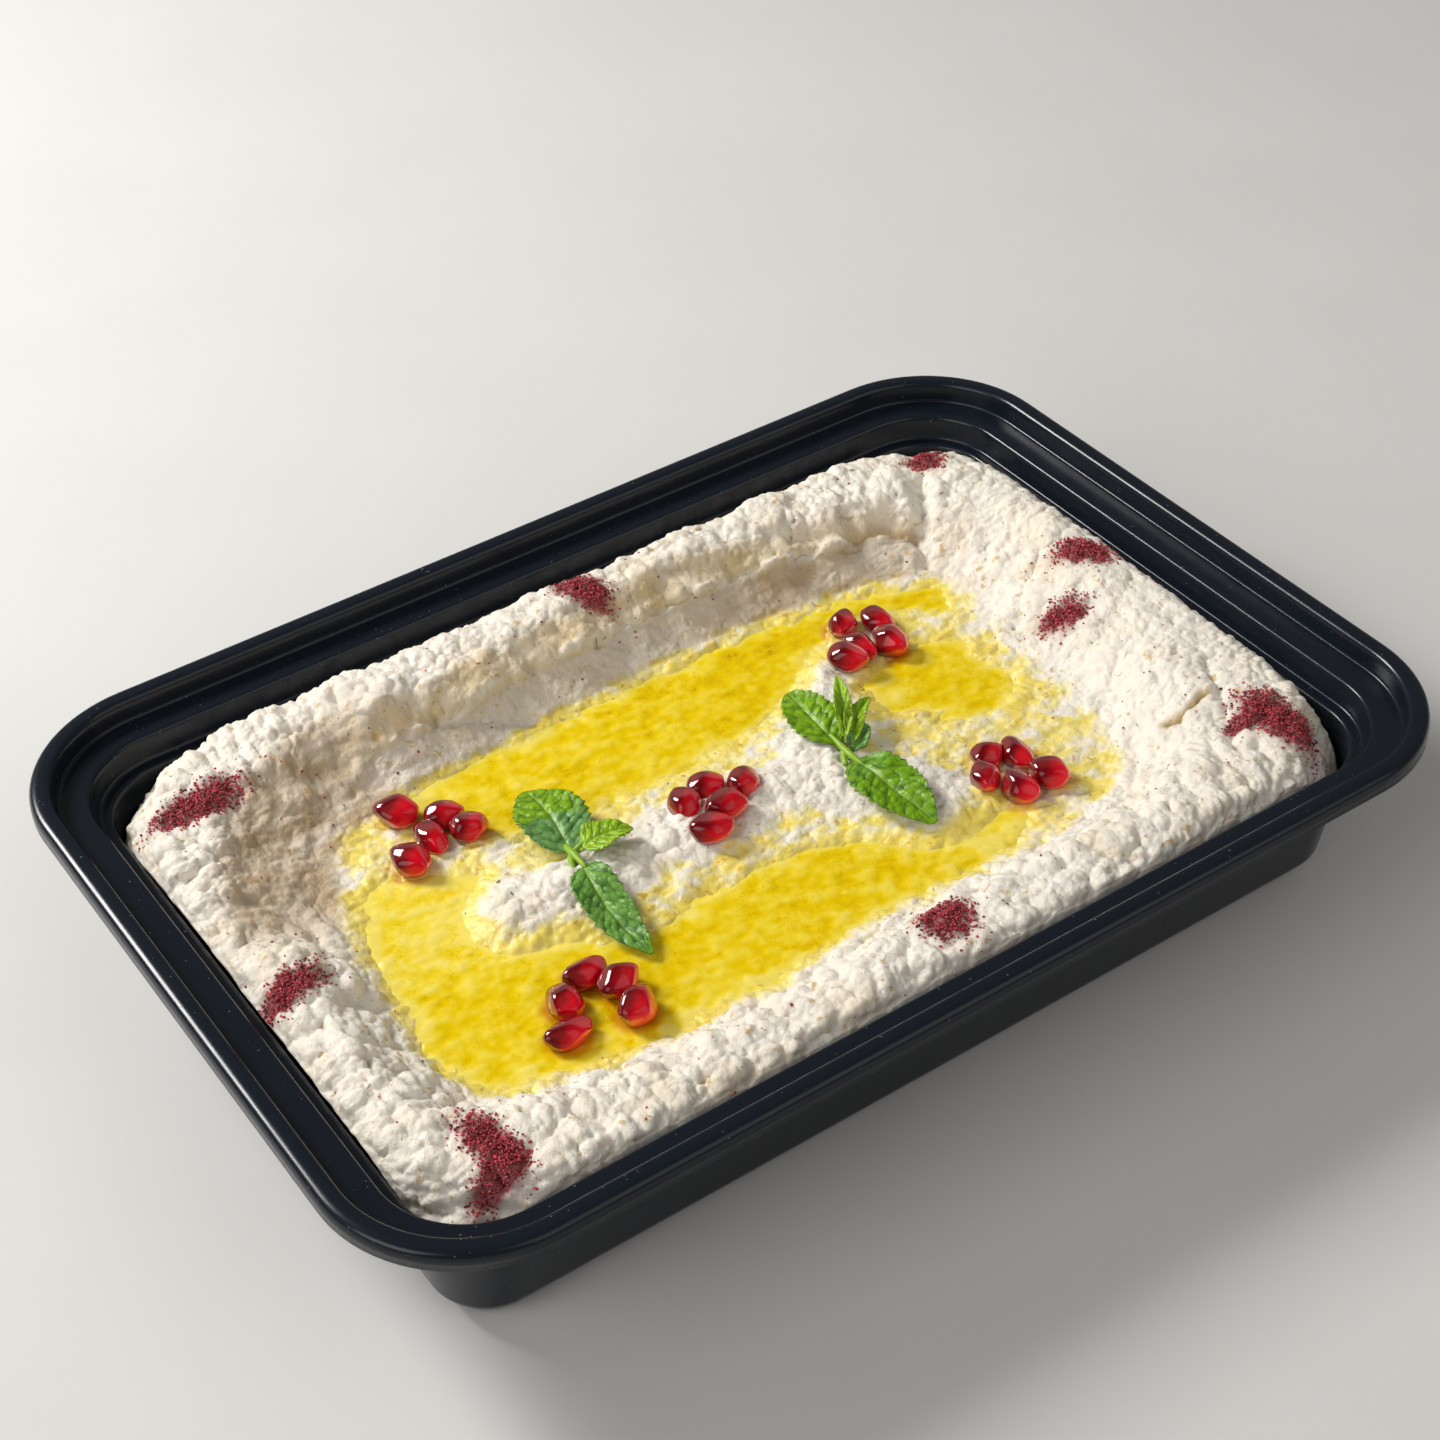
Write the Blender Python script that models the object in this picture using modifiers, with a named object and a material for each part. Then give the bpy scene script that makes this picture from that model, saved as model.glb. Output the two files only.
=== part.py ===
"""Baba ganoush in a black takeaway tray, with olive oil, pomegranate arils, mint and sumac.

All sizes below are in millimetres. The origin is the middle of the tray's flat underside,
+X runs along the tray's long side, +Y towards its back and +Z up.
"""
import math

import bmesh
import bpy
import numpy as np
from mathutils import Matrix, Vector
from mathutils.bvhtree import BVHTree

MM = 0.001

# The tray: outer size of its rim, and the wall's thickness
TRAY_LENGTH = 223.0
TRAY_WIDTH = 156.6
TRAY_HEIGHT = 38.0
TRAY_WALL = 0.8
RIM_CORNER = 27.0
LEAST_CORNER = 9.0
CORNER_STEPS = 7
# The upper side of the tray's wall, from the rim's skirt to the floor: (inset from the rim's edge, depth)
TRAY_PROFILE = (
    (0.0, 3.6), (0.0, 1.3), (0.4, 0.4), (1.3, 0.0), (3.2, 0.0), (3.9, 0.5), (4.1, 1.2), (4.3, 4.1),
    (4.7, 4.5), (9.7, 4.6), (10.2, 5.1), (10.8, 9.2), (11.2, 9.6), (12.9, 9.6), (13.4, 10.2),
    (17.0, 33.0), (19.0, 36.0), (22.5, TRAY_HEIGHT - TRAY_WALL),
)

# Heights above the table
OIL_LEVEL = 22.5
CREAM_LEVEL = 22.9
OIL_DEPTH = 1.6
GAP = 0.32

# The tray's main wall starts here and leans inwards on its way down
WALL_INSET, WALL_TOP = TRAY_PROFILE[14][0], TRAY_HEIGHT - TRAY_PROFILE[14][1]
WALL_FOOT = TRAY_HEIGHT - TRAY_PROFILE[15][1]
WALL_LEAN = (TRAY_PROFILE[15][0] - WALL_INSET) / (WALL_TOP - WALL_FOOT)

# The dip fills the tray up to its small inner step
WALL_TOUCH = 28.6
MOUND_CORNER = 30.0
MOUND_ROLL = 7.0
MOUND_FALL = 1.3
MOUND_TOP = 36.0
MOUND_ROUND = 0.7
# Two forms of the relief melt together over this height
MELT = 0.8
DIP_CELLS = (48, 32)
# The dip's side below its top edge: (inset from the rim's edge, height)
DIP_SIDE = ((17.0 + GAP, 5.0), (19.0 + GAP, 2.3), (22.5 + GAP, TRAY_WALL + GAP))

# The edge of the hollow at the oil's height, anticlockwise from the left
HOLLOW = (
    (-78, -12), (-79, -25), (-75, -38), (-62, -42), (-45, -45), (-20, -45), (5, -43), (30, -44),
    (50, -42), (61, -35), (66, -20), (68, -4), (67, 8), (71, 22), (69, 30), (58, 36), (30, 40),
    (0, 40), (-30, 38), (-50, 36), (-64, 31), (-71, 20), (-75, 6),
)
# Where each bank's own form holds, as a line in x or y and the width over which it fades in or out
BACK_FROM, BACK_TO = (8, 26), (82, 30)
NEAR_FROM, RIGHT_FROM = (-12, 26), (38, 26)
SCOOP_FROM_X, SCOOP_FROM_Y = (-40, 18), (2, 18)
LEFT_SHARE, SCOOP_SHARE = 0.4, 2.0
# Crest heights of the banks and the widths of their inner slopes
BANK_NEAR = (30.8, 12.0)
BANK_LEFT = (31.2, 12.0)
BANK_BACK = (33.2, 19.0)
BANK_RIGHT = (33.4, 24.0)
BANK_SCOOP = (31.0, 27.0)
# The smooth swept slope behind the hollow ends under a small ragged step
SWEPT_RUN = 8.0
SWEPT_TOP = 27.6
SWEPT_STEP = 2.0
STEP_WIDTH, ABOVE_STEP = 2.0, 10.0
# The ridge of cream that the spoon left across the hollow: spine, and how far it spreads and rises
RIDGE = ((-48, -3), (-30, -6), (-6, -2), (14, -6), (26, 6), (33, 18))
RIDGE_SPUR = ((14, -6), (24, -16), (29, -26))
RIDGE_SPREAD = 8.5
RIDGE_RISE = 2.1
RIDGE_FADE = 8.0
LUMPS = 260
LUMP_RISE = 0.9
LUMP_SPREAD = (4.0, 8.0)
LUMP_AREA = (100, 67)
# Lumps start this far outside the hollow, and are lower on the swept slope
LUMPS_FROM, LUMPS_SWEPT, SWEPT_CALM = (2, 8), (16, 4), 0.6

# Outlines of the pools of oil
POOL_BACK = (
    (-52, 29), (-50, 35), (-38, 37), (-10, 38), (20, 38), (45, 36), (64, 31), (69, 26), (66, 20),
    (59, 25), (48, 30), (38, 25), (30, 18), (18, 14), (4, 12), (-12, 11), (-26, 12), (-40, 16),
)
POOL_LEFT = (
    (-77, -12), (-78, -24), (-74, -36), (-60, -40), (-42, -43), (-18, -43), (4, -41), (24, -41),
    (40, -37), (36, -30), (22, -32), (12, -24), (0, -19), (-18, -18), (-32, -20), (-44, -13),
    (-54, -8), (-54, 2), (-47, 9), (-55, 14), (-67, 19), (-73, 8),
)
POOL_RIGHT = ((36, 13), (36, 3), (43, -3), (47, -9), (58, -9), (63, -3), (62, 8), (58, 15), (46, 15))
POOLS = {"olive_oil_back": POOL_BACK, "olive_oil_left": POOL_LEFT, "olive_oil_right": POOL_RIGHT}

# Pomegranate arils, five to a cluster: (x, y, heading in degrees, length, width)
ARILS = {
    "back_left": (
        (-53.2, 31.1, -49, 8.8, 6.8), (-46.7, 25.6, -20, 7.6, 5.8), (-51.4, 21.9, -90, 8.8, 5.4),
        (-44.6, 20.0, -12, 7.4, 6.2), (-57.4, 18.3, -80, 8.2, 6.4),
    ),
    "near_left": (
        (-47.5, -23.7, 3, 8.6, 5.8), (-53.7, -27.6, -110, 9.0, 5.8), (-56.9, -33.7, -4, 8.8, 5.6),
        (-43.8, -29.1, 6, 7.8, 6.4), (-44.7, -35.6, 46, 8.4, 7.2),
    ),
    "middle": (
        (-4.6, 2.4, -28, 8.0, 5.4), (-10.7, 0.1, -116, 7.6, 5.8), (-5.2, -5.0, -16, 8.0, 6.0),
        (1.5, -1.1, 40, 7.0, 5.4), (-10.4, -8.1, -28, 8.6, 6.2),
    ),
    "back_right": (
        (44.8, 27.1, -140, 6.8, 5.6), (51.3, 24.2, -73, 8.4, 5.6), (43.6, 19.5, -76, 8.6, 5.2),
        (48.8, 17.0, -76, 8.4, 6.6), (38.6, 17.0, -46, 8.6, 6.0),
    ),
    "near_right": (
        (42.9, -20.5, -6, 7.0, 5.8), (47.4, -23.6, -100, 8.6, 5.6), (38.3, -25.6, -121, 7.0, 5.8),
        (41.7, -31.2, -78, 8.2, 6.2), (48.4, -31.7, -75, 7.6, 6.8),
    ),
}
ARIL_SIDES = 10
ARIL_RINGS = 6
ARIL_SINK = 1.3
ARIL_JITTER = 0.10
ARIL_FLAT = 0.92
ARIL_TAPER, ARIL_BLUNT = 0.24, 0.06
# Where two arils meet, both are pressed flat, this far apart
ARIL_APART = 0.12
# Seats are cut this much larger than what lies in them
SEAT_GAP = 0.42
RECESS_TOP = 30.5
WELD = 1e-6

# Mint leaves: (stalk end, tip, width, height over what is under it, tip's lift, edges' lift)
MINT = {
    "mint_sprig_left": (
        ((-34.0, 1.0), (-31.0, 23.0), 13.0, 1.3, 1.0, 1.2),
        ((-33.0, 0.2), (-22.4, -0.6), 8.6, 2.6, 0.6, 1.0),
        ((-34.0, -0.6), (-35.4, -26.4), 8.8, 1.1, 0.8, 1.4),
    ),
    "mint_sprig_right": (
        ((21.0, -4.2), (23.2, 15.8), 9.6, 1.1, 0.8, 1.4),
        ((21.8, -4.8), (30.6, 9.8), 3.8, 3.2, 1.2, 0.6),
        ((22.6, -5.8), (33.2, 3.0), 3.8, 2.6, 1.0, 0.6),
        ((21.0, -7.0), (23.0, -30.2), 11.8, 1.1, 0.8, 1.8),
    ),
}
LEAF_THICK = 0.5
LEAF_CELLS = (7, 4)
LEAF_STALK = 0.1
LEAF_WAVE = 0.45
MINT_KNOB = 2.1
MINT_KNOB_SHAPE = (1.0, 1.6, 0.75)
MINT_KNOB_CLEAR = 0.4

# Sumac: middles of the sprinkled patches and how far each spreads
SUMAC = (
    (-85, 47, 6.0), (4, 57, 4.5), (84, 50, 4.5), (86, 5, 6.0), (83, -52, 5.0), (5, -57, 6.0),
    (-83, -53, 6.0), (-92, -6, 5.0),
)
SUMAC_FLAKES = 4
SUMAC_SIZE = (1.0, 1.5)

CREAM = (0.80, 0.74, 0.62, 1.0)
OIL = (0.85, 0.66, 0.02, 1.0)
ARIL_RED = (0.32, 0.01, 0.02, 1.0)
LEAF_GREEN = (0.07, 0.25, 0.03, 1.0)
TRAY_BLACK = (0.012, 0.014, 0.018, 1.0)


def make_material(name, colour, roughness):
    """A plain finish of one colour."""
    material = bpy.data.materials.new(name)
    material.use_nodes = True
    shader = material.node_tree.nodes["Principled BSDF"]
    shader.inputs["Base Color"].default_value = colour
    shader.inputs["Roughness"].default_value = roughness
    shader.inputs["Metallic"].default_value = 0.0
    return material


def clear_scene():
    for old in list(bpy.data.objects):
        bpy.data.objects.remove(old, do_unlink=True)


def add_collection(name):
    collection = bpy.data.collections.new(name)
    bpy.context.scene.collection.children.link(collection)
    return collection


def add_object(name, mesh, collection, material):
    mesh.materials.clear()
    mesh.materials.append(material)
    made = bpy.data.objects.new(name, mesh)
    collection.objects.link(made)
    return made


def mesh_from_arrays(name, points_mm, faces):
    mesh = bpy.data.meshes.new(name)
    mesh.from_pydata((np.asarray(points_mm) * MM).tolist(), [], faces)
    mesh.validate()
    mesh.update()
    return mesh


def apply_modifiers(thing):
    """Replaces an object's mesh by its evaluated one."""
    graph = bpy.context.evaluated_depsgraph_get()
    mesh = bpy.data.meshes.new_from_object(thing.evaluated_get(graph))
    thing.modifiers.clear()
    thing.data = mesh


def boolean_with(thing, operation, collection):
    """Joins or cuts a mesh by every object of a collection."""
    cut = thing.modifiers.new("cut", "BOOLEAN")
    cut.operation = operation
    cut.operand_type = "COLLECTION"
    cut.collection = collection
    cut.solver = "EXACT"
    apply_modifiers(thing)


def remove_collection(collection):
    for old in list(collection.objects):
        bpy.data.objects.remove(old, do_unlink=True)
    bpy.data.collections.remove(collection)


def closed_curve(anchors, steps=4):
    """Points of a smooth closed curve through the anchors, each stretch a cubic that leaves
    an anchor parallel to the line between its two neighbours."""
    p1 = np.asarray(anchors, float)
    p0, p2, p3 = np.roll(p1, 1, 0), np.roll(p1, -1, 0), np.roll(p1, -2, 0)
    t = (np.arange(steps) / steps)[None, :, None]
    p0, p1, p2, p3 = (p[:, None, :] for p in (p0, p1, p2, p3))
    curve = 0.5 * (
        2 * p1 + (p2 - p0) * t + (2 * p0 - 5 * p1 + 4 * p2 - p3) * t**2
        + (3 * p1 - p0 - 3 * p2 + p3) * t**3
    )
    return curve.reshape(-1, 2)


def line_distance(points, route):
    """Distance from each point to the nearest place on a route of straight stretches."""
    a = np.asarray(route[:-1], float)[None]
    b = np.asarray(route[1:], float)[None]
    p = points[:, None, :]
    along = ((p - a) * (b - a)).sum(2) / ((b - a) ** 2).sum(2)
    nearest = a + (b - a) * np.clip(along, 0, 1)[..., None]
    return np.sqrt(((p - nearest) ** 2).sum(2)).min(1)


def outline_distance(points, outline):
    """Distance to a closed outline, positive outside it and negative inside."""
    route = np.vstack([outline, outline[:1]])
    far = line_distance(points, route)
    a, b = route[:-1][None], route[1:][None]
    x, y = points[:, None, 0], points[:, None, 1]
    spans = (a[..., 1] > y) != (b[..., 1] > y)
    rise = np.where(b[..., 1] == a[..., 1], 1.0, b[..., 1] - a[..., 1])
    crossing = a[..., 0] + (y - a[..., 1]) / rise * (b[..., 0] - a[..., 0])
    inside = (spans & (x < crossing)).sum(1) % 2 == 1
    return np.where(inside, -far, far)


def round_box_distance(points, half_length, half_width, corner):
    """Distance to a rectangle with round corners, positive inside it."""
    q = np.abs(points) - (np.array([half_length, half_width]) - corner)
    outside = np.sqrt((np.maximum(q, 0) ** 2).sum(1))
    return corner - outside - np.minimum(q.max(1), 0)


def half_sizes(inset):
    """Half the length and width of the tray's outline, this far in from the rim's edge."""
    return TRAY_LENGTH / 2 - inset, TRAY_WIDTH / 2 - inset


def corner_radius(inset):
    return np.maximum(RIM_CORNER - inset, LEAST_CORNER)


def ease(t):
    """Rises from 0 to 1 with level ends."""
    t = np.clip(t, 0, 1)
    return t * t * (3 - 2 * t)


def fade_in(place, zone):
    """Rises from 0 to 1 over a zone, given as its start and its width."""
    start, width = zone
    return ease((place - start) / width)


def lumps(points, seed=7):
    """Sum of round bumps and dents, scattered over the tray."""
    rng = np.random.default_rng(seed)
    long, wide = LUMP_AREA
    place = rng.uniform((-long, -wide), (long, wide), (LUMPS, 2))
    spread = rng.uniform(*LUMP_SPREAD, LUMPS)
    rise = rng.uniform(-0.6, 1.0, LUMPS) * LUMP_RISE
    far = ((points[:, None, :] - place[None]) ** 2).sum(2)
    return (rise * np.exp(-far / spread**2)).sum(1)


def relief(points):
    """Height of the dip's top above the table. The banks rise from the hollow's edge by a share of
    their crest that grows with the distance to it, and roll off again towards the tray's wall."""
    x, y = points[:, 0], points[:, 1]
    away = outline_distance(points, closed_curve(HOLLOW))
    back = fade_in(y, BACK_FROM) * ease((BACK_TO[0] - x) / BACK_TO[1])
    near = fade_in(-y, (-NEAR_FROM[0], NEAR_FROM[1]))
    right = fade_in(x, RIGHT_FROM) * (1 - back)
    scoop = fade_in(-x, (-SCOOP_FROM_X[0], SCOOP_FROM_X[1])) * fade_in(y, SCOOP_FROM_Y)
    share = back * (1 - scoop)
    weights = np.stack([near, LEFT_SHARE + 0 * x, share, right, SCOOP_SHARE * scoop])
    sides = np.array([BANK_NEAR, BANK_LEFT, BANK_BACK, BANK_RIGHT, BANK_SCOOP])
    crest, run = (weights[:, None] * sides[:, :, None]).sum(0) / weights.sum(0)
    bank = CREAM_LEVEL + (crest - CREAM_LEVEL) * ease(away / run)
    swept = CREAM_LEVEL + (SWEPT_TOP - CREAM_LEVEL) * np.clip(away / SWEPT_RUN, 0, 1)
    step = SWEPT_STEP * fade_in(away, (SWEPT_RUN, STEP_WIDTH))
    above = (BANK_BACK[0] - SWEPT_TOP - SWEPT_STEP) * fade_in(away, (SWEPT_RUN, ABOVE_STEP))
    bank = bank * (1 - share) + (swept + step + above) * share
    ridge = np.minimum(line_distance(points, RIDGE), line_distance(points, RIDGE_SPUR))
    inner = CREAM_LEVEL + RIDGE_RISE * np.exp(-((ridge / RIDGE_SPREAD) ** 2)) * ease(-away / RIDGE_FADE)
    height = np.where(away > 0, bank, inner)
    calm = SWEPT_CALM * share * ease((LUMPS_SWEPT[0] - away) / LUMPS_SWEPT[1])
    height = height + lumps(points) * fade_in(away, LUMPS_FROM) * (1 - calm)
    half_x, half_y = half_sizes(WALL_INSET + GAP)
    edge = round_box_distance(points, half_x, half_y, MOUND_CORNER)
    roll = WALL_TOUCH + (MOUND_TOP - WALL_TOUCH) * ease(edge / MOUND_ROLL) ** MOUND_ROUND
    roll = np.where(edge < 0, WALL_TOUCH + MOUND_FALL * edge, roll)
    return -MELT * np.log(np.exp(-height / MELT) + np.exp(-roll / MELT))


def round_box_ring(inset, height):
    """Ring of points round a rectangle with round corners, anticlockwise from the right."""
    half_x, half_y = half_sizes(inset)
    radius = float(corner_radius(inset))
    ring = []
    for quarter, (sx, sy) in enumerate(((1, 1), (-1, 1), (-1, -1), (1, -1))):
        for step in range(CORNER_STEPS + 1):
            turn = math.radians(90 * (quarter + step / CORNER_STEPS))
            x = sx * (half_x - radius) + radius * math.cos(turn)
            y = sy * (half_y - radius) + radius * math.sin(turn)
            ring.append((x, y, height))
    return ring


def make_tray(collection, material):
    """Pressed tray: rings of its upper side from skirt to floor, given the wall's thickness."""
    points = []
    for inset, depth in TRAY_PROFILE:
        points += round_box_ring(inset, TRAY_HEIGHT - depth)
    count = 4 * (CORNER_STEPS + 1)
    faces = []
    for band in range(len(TRAY_PROFILE) - 1):
        for k in range(count):
            a = band * count + k
            b = band * count + (k + 1) % count
            faces.append((a, b, b + count, a + count))
    last = (len(TRAY_PROFILE) - 1) * count
    faces.append(tuple(range(last, last + count)))
    tray = add_object("tray", mesh_from_arrays("tray", points, faces), collection, material)
    wall = tray.modifiers.new("wall", "SOLIDIFY")
    wall.thickness = TRAY_WALL * MM
    wall.offset = -1.0
    wall.use_even_offset = True
    tray.data.shade_smooth()
    tray.data.set_sharp_from_angle(angle=math.radians(35))
    return tray


def square_to_outline(u, v, inset):
    """Maps a square onto a rectangle with round corners. A point keeps its share of the way
    from the middle to the edge, and edge points near a corner move onto its arc."""
    half_x, half_y = half_sizes(inset)
    corner = corner_radius(inset)
    share = np.maximum(np.abs(u), np.abs(v))
    safe = np.where(share == 0, 1, share)
    x, y = half_x * u / safe, half_y * v / safe
    from_corner_x, from_corner_y = half_x - np.abs(x), half_y - np.abs(y)
    on_long = from_corner_y <= from_corner_x
    along = np.where(on_long, from_corner_x, from_corner_y)
    turn = (1 - np.clip(along / corner, 0, 1)) * math.pi / 4
    turn = np.where(on_long, math.pi / 2 - turn, turn)
    arc_x = (half_x - corner + corner * np.cos(turn)) * np.sign(x)
    arc_y = (half_y - corner + corner * np.sin(turn)) * np.sign(y)
    near = along < corner
    return np.stack([share * np.where(near, arc_x, x), share * np.where(near, arc_y, y)], 1)


def grid_faces(columns, rows):
    """Quads of a grid whose points run along the columns first."""
    i, j = np.meshgrid(np.arange(columns), np.arange(rows))
    a = (j * (columns + 1) + i).ravel()
    return np.stack([a, a + 1, a + columns + 2, a + columns + 1], 1).tolist()


def edge_ring(columns, rows):
    """Numbers of a grid's outer points, anticlockwise."""
    wide = columns + 1
    bottom = [i for i in range(columns)]
    right = [j * wide + columns for j in range(rows)]
    top = [rows * wide + i for i in range(columns, 0, -1)]
    left = [j * wide for j in range(rows, 0, -1)]
    return bottom + right + top + left


def make_dip(collection, material):
    """The baba ganoush: its relief on a grid that follows the tray's outline, with the side and
    the underside as rings a little inside the tray."""
    columns, rows = DIP_CELLS
    u, v = np.meshgrid(np.linspace(-1, 1, columns + 1), np.linspace(-1, 1, rows + 1))
    u, v = u.ravel(), v.ravel()
    below = WALL_TOP - relief(square_to_outline(u, v, WALL_INSET + GAP))
    flat = square_to_outline(u, v, WALL_INSET + GAP + np.maximum(below, 0) * WALL_LEAN)
    top = np.column_stack([flat, relief(flat)])
    ring = edge_ring(columns, rows)
    points = top.tolist()
    faces = grid_faces(columns, rows)
    upper = ring
    for inset, height in DIP_SIDE:
        flat = square_to_outline(u[ring], v[ring], inset)
        first = len(points)
        points += np.column_stack([flat, np.full(len(ring), height)]).tolist()
        lower = list(range(first, first + len(ring)))
        for k in range(len(ring)):
            n = (k + 1) % len(ring)
            faces.append((upper[n], upper[k], lower[k], lower[n]))
        upper = lower
    faces.append(tuple(reversed(upper)))
    return add_object("baba_ganoush", mesh_from_arrays("baba_ganoush", points, faces), collection, material)


def flat_slab(name, outline, low, high, collection, material):
    """A flat outline given a thickness: a filled 2D curve, made a mesh with its caps welded."""
    curve = bpy.data.curves.new(name, "CURVE")
    curve.dimensions = "2D"
    curve.fill_mode = "BOTH"
    curve.extrude = (high - low) / 2 * MM
    spline = curve.splines.new("POLY")
    spline.points.add(len(outline) - 1)
    for point, (x, y) in zip(spline.points, outline):
        point.co = (x * MM, y * MM, 0.0, 1.0)
    spline.use_cyclic_u = True
    guide = bpy.data.objects.new(name + "_outline", curve)
    guide.location = (0.0, 0.0, (high + low) / 2 * MM)
    collection.objects.link(guide)
    graph = bpy.context.evaluated_depsgraph_get()
    mesh = bpy.data.meshes.new_from_object(guide.evaluated_get(graph))
    shell = bmesh.new()
    shell.from_mesh(mesh)
    bmesh.ops.transform(shell, matrix=guide.matrix_world, verts=shell.verts)
    bmesh.ops.remove_doubles(shell, verts=shell.verts, dist=WELD)
    bmesh.ops.recalc_face_normals(shell, faces=shell.faces)
    shell.to_mesh(mesh)
    shell.free()
    bpy.data.objects.remove(guide, do_unlink=True)
    return add_object(name, mesh, collection, material)


def outward(outline, distance):
    """An outline moved outwards by a distance, each point along the bisector of its sides."""
    ahead = np.roll(outline, -1, 0) - np.roll(outline, 1, 0)
    normal = np.stack([ahead[:, 1], -ahead[:, 0]], 1)
    normal /= np.linalg.norm(normal, axis=1, keepdims=True)
    area = (outline[:, 0] * np.roll(outline[:, 1], -1) - np.roll(outline[:, 0], -1) * outline[:, 1]).sum()
    return outline + normal * distance * np.sign(area)


def aril_mesh(name, length, width, seed):
    """A pomegranate aril: a rounded gem, blunt at one end and narrow at the other, with a few
    flattened sides. The radius round the long axis is full until past the middle, then tapers."""
    rng = np.random.default_rng(seed)
    gem = bmesh.new()
    bmesh.ops.create_uvsphere(gem, u_segments=ARIL_SIDES, v_segments=ARIL_RINGS, radius=0.5)
    bmesh.ops.rotate(gem, verts=gem.verts, cent=(0, 0, 0), matrix=Matrix.Rotation(math.pi / 2, 3, "Y"))
    for corner in gem.verts:
        along = 2 * corner.co.x
        taper = 1.0 - ARIL_TAPER * max(along, 0.0) ** 1.5 + ARIL_BLUNT * min(along, 0.0)
        jitter = 1 + ARIL_JITTER * (rng.random() - 0.5)
        corner.co.y *= width * taper * jitter
        corner.co.z *= width * ARIL_FLAT * taper * jitter
        corner.co.x *= length
    bmesh.ops.scale(gem, vec=(MM, MM, MM), verts=gem.verts)
    bmesh.ops.recalc_face_normals(gem, faces=gem.faces)
    mesh = bpy.data.meshes.new(name)
    gem.to_mesh(mesh)
    gem.free()
    return mesh


def aril_middle(x, y, width):
    """The middle of an aril that is sunk a little into what is under it."""
    under = float(relief(np.array([[x, y]]))[0])
    under = min(under, CREAM_LEVEL + RIDGE_RISE)
    return Vector((x, y, under + width * ARIL_FLAT / 2 - ARIL_SINK)) * MM


def press_flat(mesh, middle, width, others):
    """Moves what crosses the plane between an aril and each neighbour back onto that plane, which
    stands between their middles in the ratio of their widths."""
    for other_middle, other_width in others:
        between = other_middle - middle
        ahead = between.normalized()
        reach = between.length * width / (width + other_width) - ARIL_APART / 2 * MM
        for corner in mesh.vertices:
            over = (corner.co - middle).dot(ahead) - reach
            if over > 0:
                corner.co -= ahead * over


def make_arils(collection, material, seats):
    """Twenty-five arils, and beside them the slightly larger cutters that make their seats."""
    number = 0
    for cluster in ARILS.values():
        middles = [(aril_middle(x, y, width), width) for x, y, heading, length, width in cluster]
        for k, (x, y, heading, length, width) in enumerate(cluster):
            number += 1
            name = f"aril_{number:02d}"
            mesh = aril_mesh(name, length, width, number)
            middle = middles[k][0]
            mesh.transform(Matrix.Translation(middle) @ Matrix.Rotation(math.radians(heading), 4, "Z"))
            press_flat(mesh, middle, width, middles[:k] + middles[k + 1 :])
            add_object(name, mesh, collection, material).data.shade_smooth()
            seat_mesh = mesh.copy()
            seat = bmesh.new()
            seat.from_mesh(seat_mesh)
            seat.normal_update()
            for corner in seat.verts:
                corner.co += corner.normal * SEAT_GAP * MM
            seat.to_mesh(seat_mesh)
            seat.free()
            cutter = add_object(name + "_seat", seat_mesh, seats, material)
            cutter.hide_render = True
            cutter.display_type = "WIRE"


def leaf_mesh(name, base, tip, width, clear, lift, edge_lift, seed):
    """A mint leaf: a short stalk, then half its width follows a sine of the way along, widest before
    the middle. It lies on what is under it, with its tip and edges lifted and a wave along them."""
    columns, rows = LEAF_CELLS
    u, v = np.meshgrid(np.linspace(-1, 1, rows + 1), np.linspace(0, 1, columns + 1))
    u, v = u.ravel(), v.ravel()
    base, tip = np.array(base), np.array(tip)
    ahead = tip - base
    side = np.array([-ahead[1], ahead[0]]) / np.linalg.norm(ahead)
    blade = np.clip((v - LEAF_STALK) / (1 - LEAF_STALK), 0, 1)
    shape = 0.07 + 0.93 * np.sin(math.pi * blade**0.8) ** 0.8
    flat = base + np.outer(v, ahead) + np.outer(u * shape * width / 2, side)
    wave = LEAF_WAVE * np.sin(seed + 9.0 * v + 1.6 * np.sign(u)) * u * u * shape
    height = relief(flat) + clear + lift * v**2 + edge_lift * 0.5 * u * u * shape + wave
    faces = []
    for a, b, c, d in grid_faces(rows, columns):
        faces += [(a, b, c), (a, c, d)]
    return mesh_from_arrays(name, np.column_stack([flat, height]), faces)


def make_mint(collection, material):
    """Sprigs of mint: thin leaves whose stalk ends meet in a small knob."""
    for sprig, (name, leaves) in enumerate(MINT.items()):
        base = np.mean([leaf[0] for leaf in leaves], axis=0)
        under = float(relief(base[None])[0])
        knob = bmesh.new()
        bmesh.ops.create_icosphere(knob, subdivisions=2, radius=MINT_KNOB * MM)
        bmesh.ops.scale(knob, vec=MINT_KNOB_SHAPE, verts=knob.verts)
        middle = under + MINT_KNOB_CLEAR + MINT_KNOB * MINT_KNOB_SHAPE[2]
        place = Vector((base[0], base[1], middle)) * MM
        bmesh.ops.translate(knob, vec=place, verts=knob.verts)
        mesh = bpy.data.meshes.new(name)
        knob.to_mesh(mesh)
        knob.free()
        mint = add_object(name, mesh, collection, material)
        joined = add_collection(name + "_leaves")
        for k, (start, tip, width, clear, lift, edge_lift) in enumerate(leaves):
            seed = 3 * sprig + k
            mesh = leaf_mesh(f"{name}_leaf_{k}", start, tip, width, clear, lift, edge_lift, seed)
            leaf = add_object(f"{name}_leaf_{k}", mesh, joined, material)
            blade = leaf.modifiers.new("blade", "SOLIDIFY")
            blade.thickness = LEAF_THICK * MM
            blade.offset = 0.0
            apply_modifiers(leaf)
        boolean_with(mint, "UNION", joined)
        remove_collection(joined)


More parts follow.
